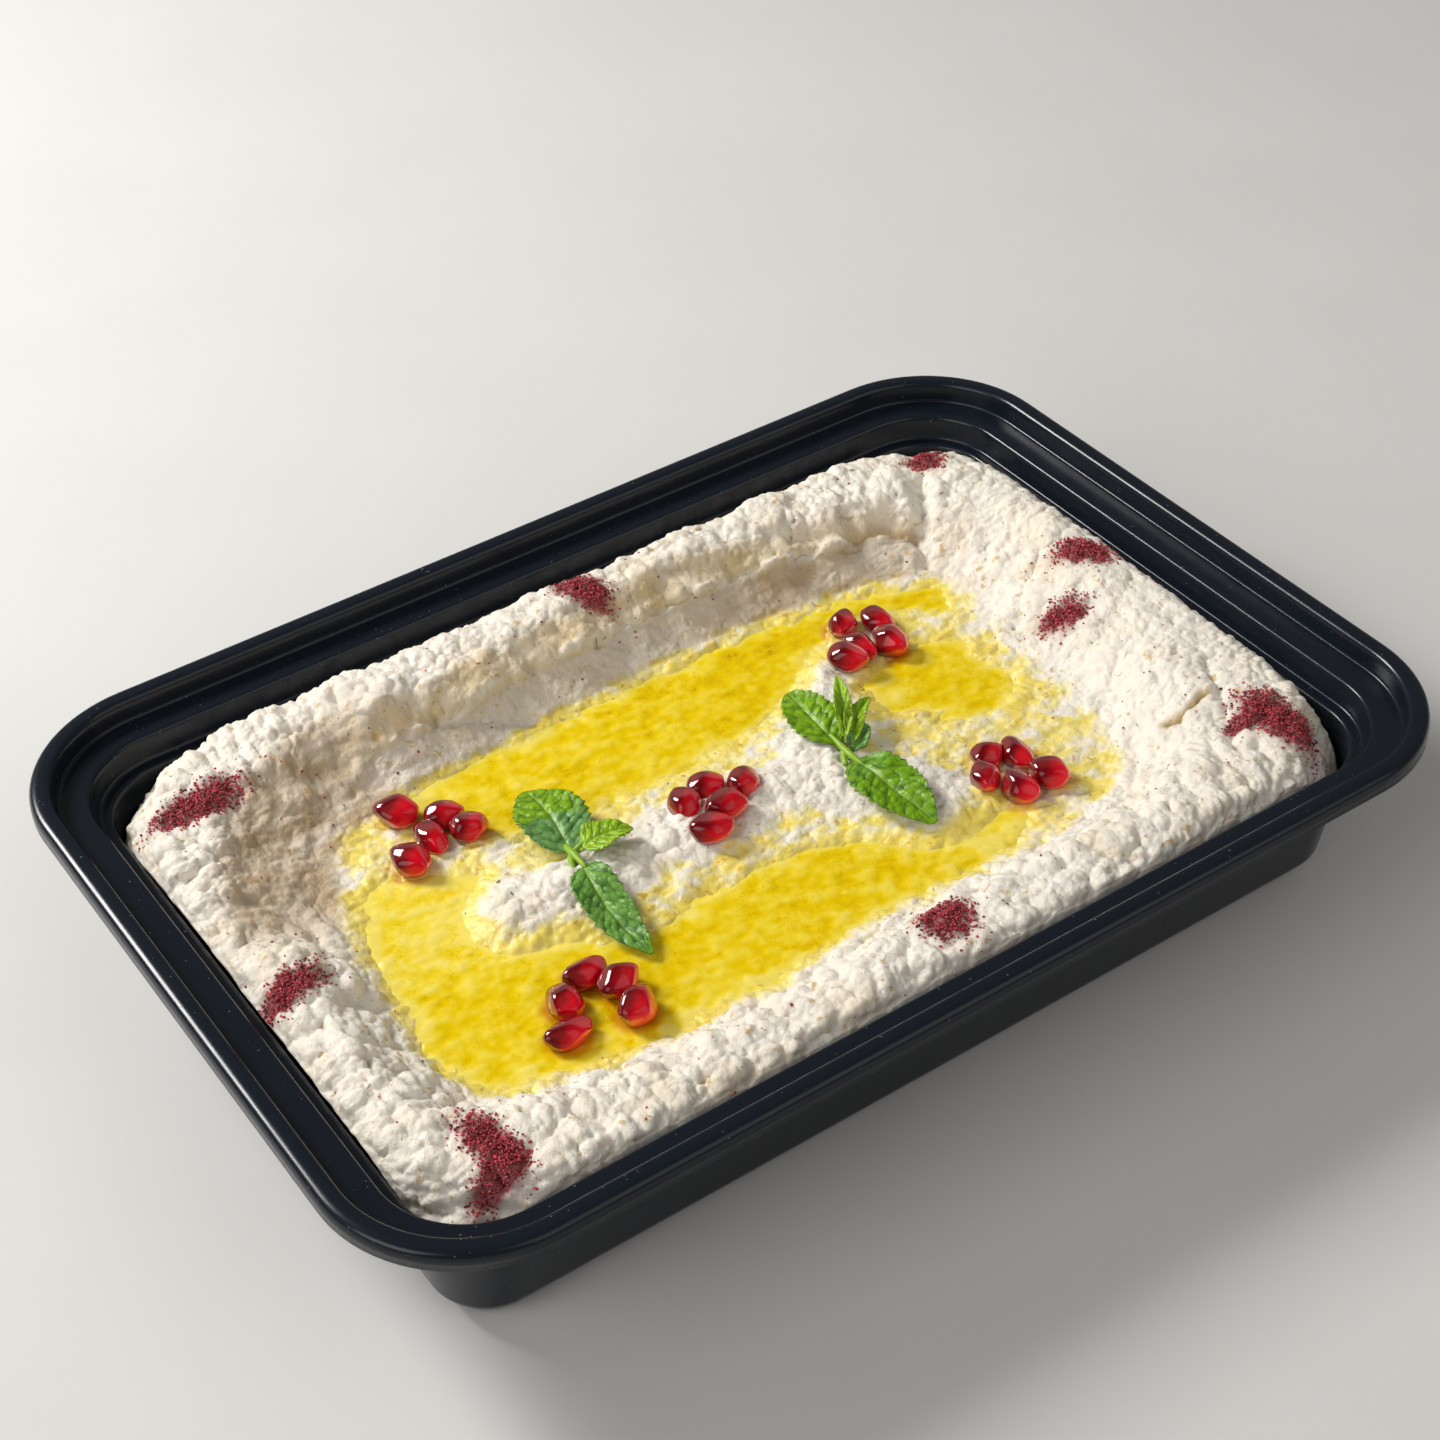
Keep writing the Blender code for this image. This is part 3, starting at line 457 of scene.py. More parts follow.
# %% The wire class
class Wire:
    """A socket of a material: arithmetic on it adds Math nodes, and node() adds any other node."""

    def __init__(self, tree, socket=None):
        self.tree = tree
        self.socket = socket

    def node(self, kind, settings=None, values=None, output=0):
        """A new node of this type: its settings first, then its sockets' values or links."""
        made = self.tree.nodes.new(kind)
        for name, value in (settings or {}).items():
            if name == "stops":
                self.set_stops(made.color_ramp, value)
            else:
                setattr(made, name, value)
        for name, value in (values or {}).items():
            if isinstance(value, Wire):
                self.tree.links.new(value.socket, made.inputs[name])
            else:
                made.inputs[name].default_value = value
        return Wire(self.tree, made.outputs[output])

    def set_stops(self, ramp, stops):
        """Gives a colour ramp these (place, colour) stops in place of its own two."""
        for place, colour in stops[2:]:
            ramp.elements.new(place)
        for element, (place, colour) in zip(ramp.elements, sorted(stops)):
            element.position = place
            element.color = colour

    def math(self, operation, a, b=0.0):
        return self.node("ShaderNodeMath", {"operation": operation}, {0: a, 1: b})

    def __add__(self, other):
        return self.math("ADD", self, other)

    def __sub__(self, other):
        return self.math("SUBTRACT", self, other)

    def __rsub__(self, other):
        return self.math("SUBTRACT", other, self)

    def __mul__(self, other):
        return self.math("MULTIPLY", self, other)

    def __abs__(self):
        return self.math("ABSOLUTE", self)

    __radd__ = __add__
    __rmul__ = __mul__

    def clamp(self, low, high):
        """Share of the way of this number from low to high, kept between 0 and 1 with level ends."""
        settings = {"interpolation_type": "SMOOTHSTEP"}
        return self.node("ShaderNodeMapRange", settings, {"Value": self, "From Min": low, "From Max": high})

    def mix(self, first, second):
        """A colour between two others, with this number as the second one's share."""
        return self.node("ShaderNodeMix", {"data_type": "RGBA"}, {0: self, 6: first, 7: second}, output=2)

    def read(self, label):
        """The number of this name that the mesh holds at each point."""
        return self.node("ShaderNodeAttribute", {"attribute_name": label}, output="Fac")

    def noise(self, size, detail=3.0, roughness=0.5, distortion=0.0):
        """Noise on Object coordinates whose features are about this many millimetres wide."""
        place = self.node("ShaderNodeTexCoord", output="Object")
        values = {
            "Vector": place, "Scale": 1 / (size * MM), "Detail": detail, "Roughness": roughness,
            "Distortion": distortion,
        }
        return self.node("ShaderNodeTexNoise", values=values)

    def bump(self, strength, distance):
        """Turns this number into a slight relief, given as the normal."""
        values = {"Strength": strength, "Distance": distance * MM, "Height": self}
        return self.node("ShaderNodeBump", values=values)


def new_finish(name, **constants):
    """A material with these fixed values on its shader, and the wire that its nodes start from."""
    material = bpy.data.materials.new(name)
    material.use_nodes = True
    shader = material.node_tree.nodes["Principled BSDF"]
    for label, value in constants.items():
        shader.inputs[label.replace("_", " ")].default_value = value
    return material, Wire(material.node_tree), shader


def connect(wire, shader, label):
    wire.tree.links.new(wire.socket, shader.inputs[label])


# %% [markdown]
# ## Black plastic
#
# The tray is glossy polypropylene, nearly black with a breath of blue. Its gloss is a little
# uneven, and a few specks of dust lie on it. The rolled lip shows it best.

# %% Finish of the tray
PLASTIC_BLACK, DUST_GREY = (0.0050, 0.0080, 0.0135, 1), (0.10, 0.10, 0.11, 1)
black_plastic, wire, shader = new_finish("black_plastic", IOR=1.49, Specular_IOR_Level=0.30)
shine = wire.noise(9.0, detail=4.0)
dust = wire.noise(0.7, detail=1.0).clamp(0.755, 0.80)
connect(dust.mix(PLASTIC_BLACK, DUST_GREY), shader, "Base Color")
connect(0.15 + 0.14 * shine + 0.3 * dust, shader, "Roughness")
connect(wire.noise(26.0, detail=2.0).bump(0.25, 0.6), shader, "Normal")

# %% [markdown]
# ## The tray
#
# One profile is carried round the rectangle with round corners. Its sharp bends are first rounded
# by short quadratic curves, as in pressed sheet. The lower side is the same profile moved
# along its own normal by the sheet's thickness, and both floors close in a fan of triangles.

# %% Tray surface
BEND_RADIUS = 0.55
CORNER_STEPS = 20


def rounded_profile(profile, radius, steps=5):
    """Replaces each bend of an open line by a quadratic curve between the points that lie this far
    before and after it, or half a stretch away where that is less."""
    line = np.asarray(profile, float)
    before, bend, after = line[:-2], line[1:-1], line[2:]
    reach_in = np.minimum(radius, np.linalg.norm(bend - before, axis=1) / 2)
    reach_out = np.minimum(radius, np.linalg.norm(after - bend, axis=1) / 2)
    start = bend + (before - bend) * (reach_in / np.linalg.norm(bend - before, axis=1))[:, None]
    end = bend + (after - bend) * (reach_out / np.linalg.norm(after - bend, axis=1))[:, None]
    t = np.linspace(0, 1, steps)[None, :, None]
    curves = (1 - t) ** 2 * start[:, None] + 2 * t * (1 - t) * bend[:, None] + t**2 * end[:, None]
    return np.concatenate([line[:1], curves.reshape(-1, 2), line[-1:]])


def rounded_rings(profile):
    """A ring of points round the tray for each (inset, depth) of a profile. Round corners come from
    quarter turns, and straight sides from the gaps between them."""
    inset, depth = profile[:, 0, None, None], profile[:, 1, None, None]
    radius = np.maximum(RIM_CORNER - inset, LEAST_CORNER)
    turn = np.linspace(0, math.pi / 2, CORNER_STEPS + 1)[None, None, :] + (
        np.arange(4) * math.pi / 2
    )[None, :, None]
    sign_x = np.array([1, -1, -1, 1])[None, :, None]
    sign_y = np.array([1, 1, -1, -1])[None, :, None]
    x = sign_x * (TRAY_LENGTH / 2 - inset - radius) + radius * np.cos(turn)
    y = sign_y * (TRAY_WIDTH / 2 - inset - radius) + radius * np.sin(turn)
    z = TRAY_HEIGHT - depth + 0 * x
    return np.stack([x, y, z], -1).reshape(len(profile), -1, 3)


def make_tray():
    """Points and faces of the tray: rings along the upper side and back along the lower one."""
    line = rounded_profile(TRAY_PROFILE, BEND_RADIUS)
    keep = np.concatenate([[True], np.linalg.norm(np.diff(line, axis=0), axis=1) > 1e-4])
    line = line[keep]
    ahead = np.gradient(line, axis=0)
    ahead /= np.linalg.norm(ahead, axis=1, keepdims=True)
    under = line + TRAY_WALL * np.stack([-ahead[:, 1], ahead[:, 0]], 1)
    under[:, 1] = np.minimum(under[:, 1], TRAY_HEIGHT)
    loop = np.concatenate([line[::-1], under])
    rings = rounded_rings(loop)
    count = rings.shape[1]
    points = rings.reshape(-1, 3)
    faces = grid_quads(len(loop), count, ring=True)
    first, last = np.arange(count), np.arange(count) + (len(loop) - 1) * count
    upper, lower = len(points), len(points) + 1
    middle = [[0, 0, points[0, 2]], [0, 0, points[-1, 2]]]
    ahead_first, ahead_last = np.roll(first, -1), np.roll(last, -1)
    fan_up = np.stack([np.full(count, upper), ahead_first, first], 1)
    fan_down = np.stack([np.full(count, lower), last, ahead_last], 1)
    points = np.concatenate([points, middle])
    return points, faces.tolist() + fan_up.tolist() + fan_down.tolist()


tray_points, tray_faces = make_tray()
tray = add_piece("tray_shell", tray_points, tray_faces, black_plastic)
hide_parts("tray")

# %% [markdown]
# ## Cream and oil finishes
#
# The paste is off-white, with painted warm brown shade in its creases and its shaded hollows, tan with
# painted shade under the step at the back, tan flecks of tahini and a few dark specks of charred
# skin. Where oil has soaked in, it is pale yellow and wet. The oil itself lies flat: its colour
# deepens with the depth that the mesh carries, from pale yellow at its shore to gold.

# %% Finish of the cream
CREAM_PALE, CREAM_WARM = (0.83, 0.778, 0.69, 1), (0.775, 0.685, 0.54, 1)
# Brown of the painted shade in creases and hollows, and tan that is partly painted shade under the step
PAINTED_SHADE_BROWN, TAN_AND_SHADE = (0.47, 0.345, 0.205, 1), (0.63, 0.47, 0.225, 1)
FLECK_BROWN, CHAR_BLACK = (0.58, 0.38, 0.14, 1), (0.06, 0.035, 0.02, 1)
JUICE_ORANGE, SUMAC_STAIN = (0.62, 0.23, 0.03, 1), (0.27, 0.028, 0.036, 1)
# What soaked oil multiplies the cream's colour by, from dry to soaked
SOAKED_STOPS = ((0.0, (1.0, 1.0, 1.0, 1)), (0.5, (1.0, 0.95, 0.52, 1)), (1.0, (0.97, 0.83, 0.17, 1)))
cream_dip, wire, shader = new_finish(
    "cream_dip", Subsurface_Weight=0.22, Subsurface_Radius=(1.0, 0.6, 0.35), Subsurface_Scale=0.0014
)
crease, soaked, blush = wire.read("crease"), wire.read("oil"), wire.read("blush")
tan = wire.read("tan")
dusted = wire.read("sumac")
tone = wire.noise(13.0, detail=5.0, roughness=0.65).clamp(0.44, 0.74)
colour = tone.mix(CREAM_PALE, CREAM_WARM)
# Painted shade: brown in the creases, the scoop, the swept slope and the pocket
colour = (crease * 0.95).mix(colour, PAINTED_SHADE_BROWN)
# Tan paste under the step, partly painted shade of its concave band, and painted shade in the crack
colour = tan.mix(colour, TAN_AND_SHADE)
fleck = wire.noise(1.9, detail=2.0, distortion=0.4).clamp(0.645, 0.70)
colour = (fleck * 0.75).mix(colour, FLECK_BROWN)
char = wire.noise(1.3, detail=1.0, distortion=0.6).clamp(0.765, 0.79)
colour = (char * 0.85).mix(colour, CHAR_BLACK)
streak = wire.noise(3.2, detail=4.0, roughness=0.6, distortion=0.8).clamp(0.32, 0.66)
film = (soaked * (0.66 + 0.5 * streak)).clamp(0.0, 1.0)
stained = wire.node("ShaderNodeValToRGB", {"stops": SOAKED_STOPS}, {0: film})
multiply = {"data_type": "RGBA", "blend_type": "MULTIPLY"}
colour = wire.node("ShaderNodeMix", multiply, {0: 1.0, 6: colour, 7: stained}, output=2)
colour = blush.mix(colour, JUICE_ORANGE)
colour = dusted.mix(colour, SUMAC_STAIN)
connect(colour, shader, "Base Color")
connect((0.50 + 0.2 * tone) * (1 - 0.72 * film), shader, "Roughness")
grain = wire.noise(0.6, detail=4.0, roughness=0.75) + 0.9 * wire.noise(1.6, detail=3.0)
connect((grain * (1 - 0.6 * film)).bump(0.75, 0.45), shader, "Normal")

# %% Finish of the oil
JUICE_RED = (0.50, 0.13, 0.004, 1)
# The oil's colour from its thin shore to its deepest place
OIL_STOPS = (
    (0.0, (0.78, 0.64, 0.12, 1)), (0.17, (0.765, 0.595, 0.045, 1)), (0.42, (0.70, 0.50, 0.001, 1)),
    (0.68, (0.61, 0.40, 0.001, 1)), (1.0, (0.36, 0.20, 0.001, 1)),
)
olive_oil, wire, shader = new_finish("olive_oil", Roughness=0.12, IOR=1.47, Specular_IOR_Level=0.12)
depth, blush = wire.read("depth"), wire.read("blush")
swirl = wire.noise(7.0, detail=5.0, roughness=0.65, distortion=0.8)
thread = wire.noise(2.6, detail=4.0, roughness=0.6, distortion=1.2)
wrinkle = (1 - abs(thread - 0.5).clamp(0.0, 0.03)) * swirl.clamp(0.42, 0.6)
deeper = depth * 0.40 + 0.42 * (swirl - 0.5) + 0.30 * wrinkle
colour = wire.node("ShaderNodeValToRGB", {"stops": OIL_STOPS}, {0: deeper})
colour = blush.mix(colour, JUICE_RED)
connect(colour, shader, "Base Color")
connect(wire.noise(4.5, detail=2.0).bump(0.22, 0.5), shader, "Normal")

# %% [markdown]
# ## Pomegranate arils: places
#
# The arils' places are needed before the dip, because oil stained with their juice rings each
# of them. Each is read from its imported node's box, so it lies exactly where the solid is.

# %% Places of the arils
ARIL_NAMES = [f"aril_{number:02d}" for number in range(1, 26)]
aril_boxes = np.array([[tuple(corner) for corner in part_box(name)] for name in ARIL_NAMES]) / MM
aril_middles = aril_boxes.mean(1)
print("arils:", len(aril_middles), "mean height in mm:", aril_middles[:, 2].mean().round(1))


def juice(x, y):
    """How much an aril's juice colours the oil: full at its foot, gone two millimetres away."""
    near = np.full(x.shape, 1e9)
    for ax, ay, _ in aril_middles:
        near = np.minimum(near, np.hypot(x - ax, y - ay))
    return 0.75 * ease((5.4 - near) / 2.4)


# %% [markdown]
# ## The dip
#
# The surface is a grid laid over the tray's outline. Its heights come from the relief, and the fine
# lumps push each point along the surface's normal, so that they also swell sideways on the
# steep parts. The ragged step at the back leans out over the swept slope. So fine a grid is kept
# in four pieces side by side, each closed by walls down to the tray's floor.

# %% Dip surface
DIP_GRID = (700, 468)
DIP_PIECES = 4
DIP_FLOOR, DIP_FLOOR_INSET = 1.1, 22.8
# How much lower a piece's border lies where it passes under the next piece
HEM = 0.04
# How far in from the wall the lumps are free to swell sideways, and how far the step leans out
FREE_RUN, STEP_LEAN = 2.0, 1.1
# Pinches of sumac: (x, y, half-sizes, turn in degrees)
SUMAC_SPOTS = (
    (-84.5, 46.8, 8.6, 3.4, 10), (3.6, 56.5, 5.6, 3.2, -60), (84.4, 51.6, 3.6, 2.6, -40),
    (89.0, 7.5, 5.4, 3.2, -50), (77.6, -0.6, 3.0, 4.2, 60), (84.6, -51.5, 3.8, 7.6, 5),
    (78.6, -48.2, 2.6, 1.8, 0), (5.6, -55.4, 4.4, 4.6, 0), (-92.6, -4.8, 6.6, 3.0, 20),
    (-82.4, -53.0, 3.0, 7.0, 8), (-84.5, -58.0, 5.0, 2.2, 10),
)


def sprinkled(x, y):
    """How thickly sumac lies: a bell over each spot's ellipse, times packed lumps of two sizes, so
    that it lies in clumps."""
    total = np.zeros_like(x)
    for px, py, long, wide, turn in SUMAC_SPOTS:
        c, s = math.cos(math.radians(turn)), math.sin(math.radians(turn))
        a, b = ((x - px) * c + (y - py) * s) / long, ((y - py) * c - (x - px) * s) / wide
        total += np.exp(-(a * a + b * b) ** 1.5)
    return total * (0.3 + 0.9 * pebbles(x, y, 2.4, 63)) * (0.6 + 0.7 * pebbles(x, y, 1.0, 64))


def dip_marks(x, y, form, fine, height):
    """Numbers for the cream's finish, from 0 to 1: painted shade in the creases, the scoop, the swept
    slope and the pocket, soaked oil, tan paste with painted shade in the step and the crack, the
    arils' juice and sumac's stain."""
    away, swept, ridge = form["away"], form["swept"], form["ridge"]
    # Painted shade: darker where the fine relief sinks into creases
    crease = ease((-0.1 - fine) / 1.1) * (1 - ease((2 - away) / 4) * 0.6)
    slope = swept * ease((SWEPT_RUN + 1 - away) / 2) * ease((away + 1) / 2)
    # Painted shadow over the scoop and the swept slope, where the banks shade them
    painted_shadow = form["scoop"] * ease((24 - away) / 8) * ease((away + 2) / 4)
    painted_shadow = np.maximum(painted_shadow, slope * (0.5 + 0.5 * ease((x - 5) / 40)))
    crease = np.maximum(crease, painted_shadow * (0.8 + 0.35 * waves(x * 0.5, y, 3.5, 36)))
    # Painted shadow in the pocket under the overhanging bank
    crease = np.maximum(crease, ease((2.6 - line_distance(x, y, POCKET)) / 2.2))
    patchy = waves(x * 0.6, y, 5.0, 33) + 0.6 * waves(x, y, 2.4, 35)
    shore = ease((6.0 - form["pool"] + 2.4 * patchy) / 6.5)
    spread = 0.85 * ease((ridge - 5 + 3 * patchy) / 6) * ease(0.72 + 0.6 * patchy)
    reach = 4.0 - 2.0 * swept - away + 1.8 * (1 - 0.6 * swept) * patchy
    oil = np.maximum(shore, spread) * ease(reach / (7 - 4.5 * swept))
    oil *= 1 - 0.6 * ease((height - OIL_LEVEL - 1.2) / 1.8)
    # Tan under the step is partly paste and partly painted shade of the concave band below the crest
    tan = 0.85 * swept * ease((away - SWEPT_RUN) / 2) * ease((SWEPT_RUN + 7.5 - away) / 4)
    tan = tan * (0.72 + 0.4 * waves(x * 0.6, y, 6.0, 34))
    # Painted shade in the crack
    tan = np.maximum(tan, 0.9 * ease((1.8 - line_distance(x, y, CRACK)) / 1.4))
    return {
        "crease": np.clip(crease, 0, 1), "oil": oil, "tan": np.clip(tan, 0, 1),
        "blush": juice(x, y) * ease((OIL_LEVEL + 1.2 - height) / 1.5),
        "sumac": 0.92 * np.clip(1.7 * sprinkled(x, y), 0, 1),
    }


def make_dip():
    """The grid of the dip's surface, with its marks and forms. Where the dip lies below the wall's
    top, the grid is moved in along the leaning wall."""
    columns, rows = DIP_GRID
    u, v = np.meshgrid(np.linspace(-1, 1, columns + 1), np.linspace(-1, 1, rows + 1))
    x, y = square_to_outline(u, v, WALL_INSET + GAP)
    below = np.maximum(WALL_TOP - dip_form(x, y)["height"], 0)
    x, y = square_to_outline(u, v, WALL_INSET + GAP + below * WALL_LEAN)
    form = dip_form(x, y)
    fine = paste(x, y, form)
    base = np.stack([x, y, form["height"]], -1)
    normals = grid_normals(base)
    free = ease((1 - np.maximum(np.abs(u), np.abs(v))) * TRAY_WIDTH / 2 / FREE_RUN)
    push = normals * fine[..., None]
    push[..., :2] *= free[..., None]
    away = form["away"]
    step = form["swept"] * ease((away - SWEPT_RUN + 1) / 2) * ease((SWEPT_RUN + 5 - away) / 4)
    push[..., 1] -= STEP_LEAN * step * (0.6 + 0.6 * waves(x, y, 5.0, 31))
    surface = base + push
    return surface, dip_marks(x, y, form, fine, surface[..., 2]), form


def close_below(surface, first, last):
    """Points and faces of the surface between two columns, with walls to a flat underside. Its inner
    borders reach one column further, a hair lower, under the next piece."""
    rows, columns = surface.shape[:2]
    start, stop = max(first - 1, 0), min(last + 1, columns - 1)
    block = surface[:, start : stop + 1].copy()
    if start < first:
        block[:, 0, 2] -= HEM
    if stop > last:
        block[:, -1, 2] -= HEM
    wide = block.shape[1]
    number = np.arange(rows * wide).reshape(rows, wide)
    rim = np.concatenate([number[0, :-1], number[:-1, -1], number[-1, :0:-1], number[:0:-1, 0]])
    u, v = np.meshgrid(np.linspace(-1, 1, columns)[start : stop + 1], np.linspace(-1, 1, rows))
    x, y = square_to_outline(u.ravel()[rim], v.ravel()[rim], DIP_FLOOR_INSET)
    foot = np.stack([x, y, np.full(x.shape, DIP_FLOOR)], 1)
    lower = rows * wide + np.arange(len(rim))
    walls = np.stack([np.roll(rim, -1), rim, lower, np.roll(lower, -1)], 1)
    points = np.concatenate([block.reshape(-1, 3), foot])
    faces = np.concatenate([grid_quads(rows, wide), walls]).tolist() + [lower[::-1].tolist()]
    return points, faces, slice(start, stop + 1)


surface, numbers, surface_form = make_dip()
borders = np.linspace(0, DIP_GRID[0], DIP_PIECES + 1).astype(int)
for number, (first, last) in enumerate(zip(borders[:-1], borders[1:]), 1):
    dip_points, dip_faces, part = close_below(surface, first, last)
    piece_numbers = {}
    for label, values in numbers.items():
        own = values[:, part].ravel()
        piece_numbers[label] = np.concatenate([own, np.zeros(len(dip_points) - len(own))])
    dip = add_piece(f"dip_surface_{number}", dip_points, dip_faces, cream_dip, piece_numbers)
    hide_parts("baba_ganoush")

# %% [markdown]
# ## The oil
#
# Oil finds its own level, so each pool is a sheet, almost flat, that dips under the cream at its
# shore. The cream's lumps then draw the shore line. A square grid covers the pool, and only the
# squares over it or just under its shore are kept. The underside follows the cream. The depth at
# each point gives the colour, paler at the left and deeper at the back right.

# %% Oil sheets
OIL_CELL = 0.42
# How far the sheet falls at its shore, how far past the outline it reaches, how deep under the cream
# it still counts, and how thick it is at least
SHORE_FALL, SHORE_REACH, SHORE_UNDER, OIL_THICKNESS = 1.4, 4.5, 0.9, 0.25


def kept_slab(top, bottom, kept):
    """Points and faces of the kept squares of two grids, with walls where a kept square ends."""
    rows, columns = top.shape[:2]
    number = np.arange(rows * columns).reshape(rows, columns)
    count = rows * columns
    a, b, c, d = number[:-1, :-1], number[:-1, 1:], number[1:, 1:], number[1:, :-1]
    upper = np.stack([a, b, c, d], -1)[kept]
    padded = np.pad(kept, 1)
    walls = []
    for start, end, (di, dj) in ((a, b, (-1, 0)), (b, c, (0, 1)), (c, d, (1, 0)), (d, a, (0, -1))):
        beside = padded[1 + di : 1 + di + kept.shape[0], 1 + dj : 1 + dj + kept.shape[1]]
        open_side = kept & ~beside
        s, e = start[open_side], end[open_side]
        walls.append(np.stack([e, s, s + count, e + count], 1))
    faces = np.concatenate([upper, upper[:, ::-1] + count] + walls)
    used, faces = np.unique(faces, return_inverse=True)
    points = np.concatenate([top.reshape(-1, 3), bottom.reshape(-1, 3)])[used]
    return points, faces.reshape(-1, 4), used


def make_pool(name, outline):
    """One sheet: level with a faint swell of the lumps under it, less the fall at its torn shore."""
    low, high = outline.min(0) - 4, outline.max(0) + 4
    x, y = np.meshgrid(np.arange(low[0], high[0], OIL_CELL), np.arange(low[1], high[1], OIL_CELL))
    form = dip_form(x, y)
    fine = paste(x, y, form)
    cream = form["height"] + fine
    reach = outline_distance(x, y, outline)
    level = OIL_LEVEL + 0.03 * waves(x, y, 7.0, 41) + 0.38 * np.clip(fine, -0.7, 0.7)
    torn = reach + 1.6 * waves(x, y, 4.0, 42) + 0.9 * waves(x, y, 1.8, 43)
    level = level - SHORE_FALL * ease((torn + 1.0) / 4.5)
    depth = level - cream
    wanted = (reach < SHORE_REACH) & (depth > -SHORE_UNDER)
    kept = wanted[:-1, :-1] & wanted[:-1, 1:] & wanted[1:, 1:] & wanted[1:, :-1]
    top = np.stack([x, y, level], -1)
    bottom = np.stack([x, y, np.minimum(cream, level) - OIL_THICKNESS], -1)
    points, faces, used = kept_slab(top, bottom, kept)
    # The colour shows the pool's broad depth, so the lumps under it count little
    thin = 0.55 * ease((y + 16) / 12) * ease((-35 - x) / 12)
    seen = depth - 0.8 * fine - thin + 0.35 * ease(x / 30) * ease((y - 12) / 8)
    own = used % depth.size
    numbers = {"depth": seen.ravel()[own], "blush": juice(x, y).ravel()[own]}
    pool = add_piece(name + "_sheet", points, faces.tolist(), olive_oil, numbers)
    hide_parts(name)


for name, outline in POOLS.items():
    make_pool(name, outline)

# %% [markdown]
# ## Pomegranate arils
#
# An aril grows pressed against its neighbours, so it is a rounded gem with flat sides. The shape
# comes from a handful of planes round a seed: in each direction the reach is a soft minimum over
# the planes. The juice sac is deep red, with a painted glow on the side where light would shine
# out through it, painted dark on the other sides, and a hard gloss.

# %% Finish of the arils
# Painted light: dark red for the side away from the painted glow, bright red for the glow
ARIL_DARK, ARIL_LIT, ARIL_PALE = (0.13, 0.0, 0.002, 1), (0.86, 0.002, 0.018, 1), (0.80, 0.10, 0.09, 1)
pomegranate, wire, shader = new_finish(
    "pomegranate", Roughness=0.04, IOR=1.38, Specular_IOR_Level=0.4, Transmission_Weight=0.22,
    Subsurface_Weight=0.25, Subsurface_Radius=(1.0, 0.02, 0.03), Subsurface_Scale=0.0018,
)
glow, pale = wire.read("glow"), wire.read("pale")
cloud = wire.noise(2.2, detail=2.0)
# Painted glow and shade: bright on the glow's side, dark elsewhere, with random clouds
lit = (glow + 0.6 * (cloud - 0.5)).clamp(0.15, 0.95)
colour = lit.mix(ARIL_DARK, ARIL_LIT)
colour = (pale * 0.35).mix(colour, ARIL_PALE)
connect(colour, shader, "Base Color")

# %% Aril surfaces
ARIL_GRID = (28, 40)
# Flat sides, how sharply they meet, the length over the width, and the taper to the pointed end
ARIL_PLANES, ARIL_POWER, ARIL_LONG, ARIL_TAPER = 9, 9, 1.22, 0.22
# Only middles nearer than this press on each other, and how much plumper than its box a gem is
ARIL_NEAR, ARIL_PLUMP = 12.0, 1.05
# Side of an aril on which its glow is painted, where light would shine out through it, and the turns of the
# arils' long axes
PAINTED_GLOW_SIDE = np.array([0.5, -0.8, 0.3])
HEADINGS = (
    -49, -20, -90, -12, -80, 3, -110, -4, 6, 46, -28, -116, -16, 40, -28, -140, -73, -76, -76, -46,
    -6, -100, -121, -78, -75,
)


def press_flat(points, low, high):
    """Moves what crosses the plane half-way to a neighbour back onto that plane."""
    own = (low + high) / 2
    for middle in aril_middles:
        between = middle - own
        reach = np.linalg.norm(between)
        if 0 < reach < ARIL_NEAR:
            ahead = between / reach
            over = (points - own) @ ahead - reach / 2 + GAP / 2
            points = points - np.maximum(over, 0)[..., None] * ahead
    return points


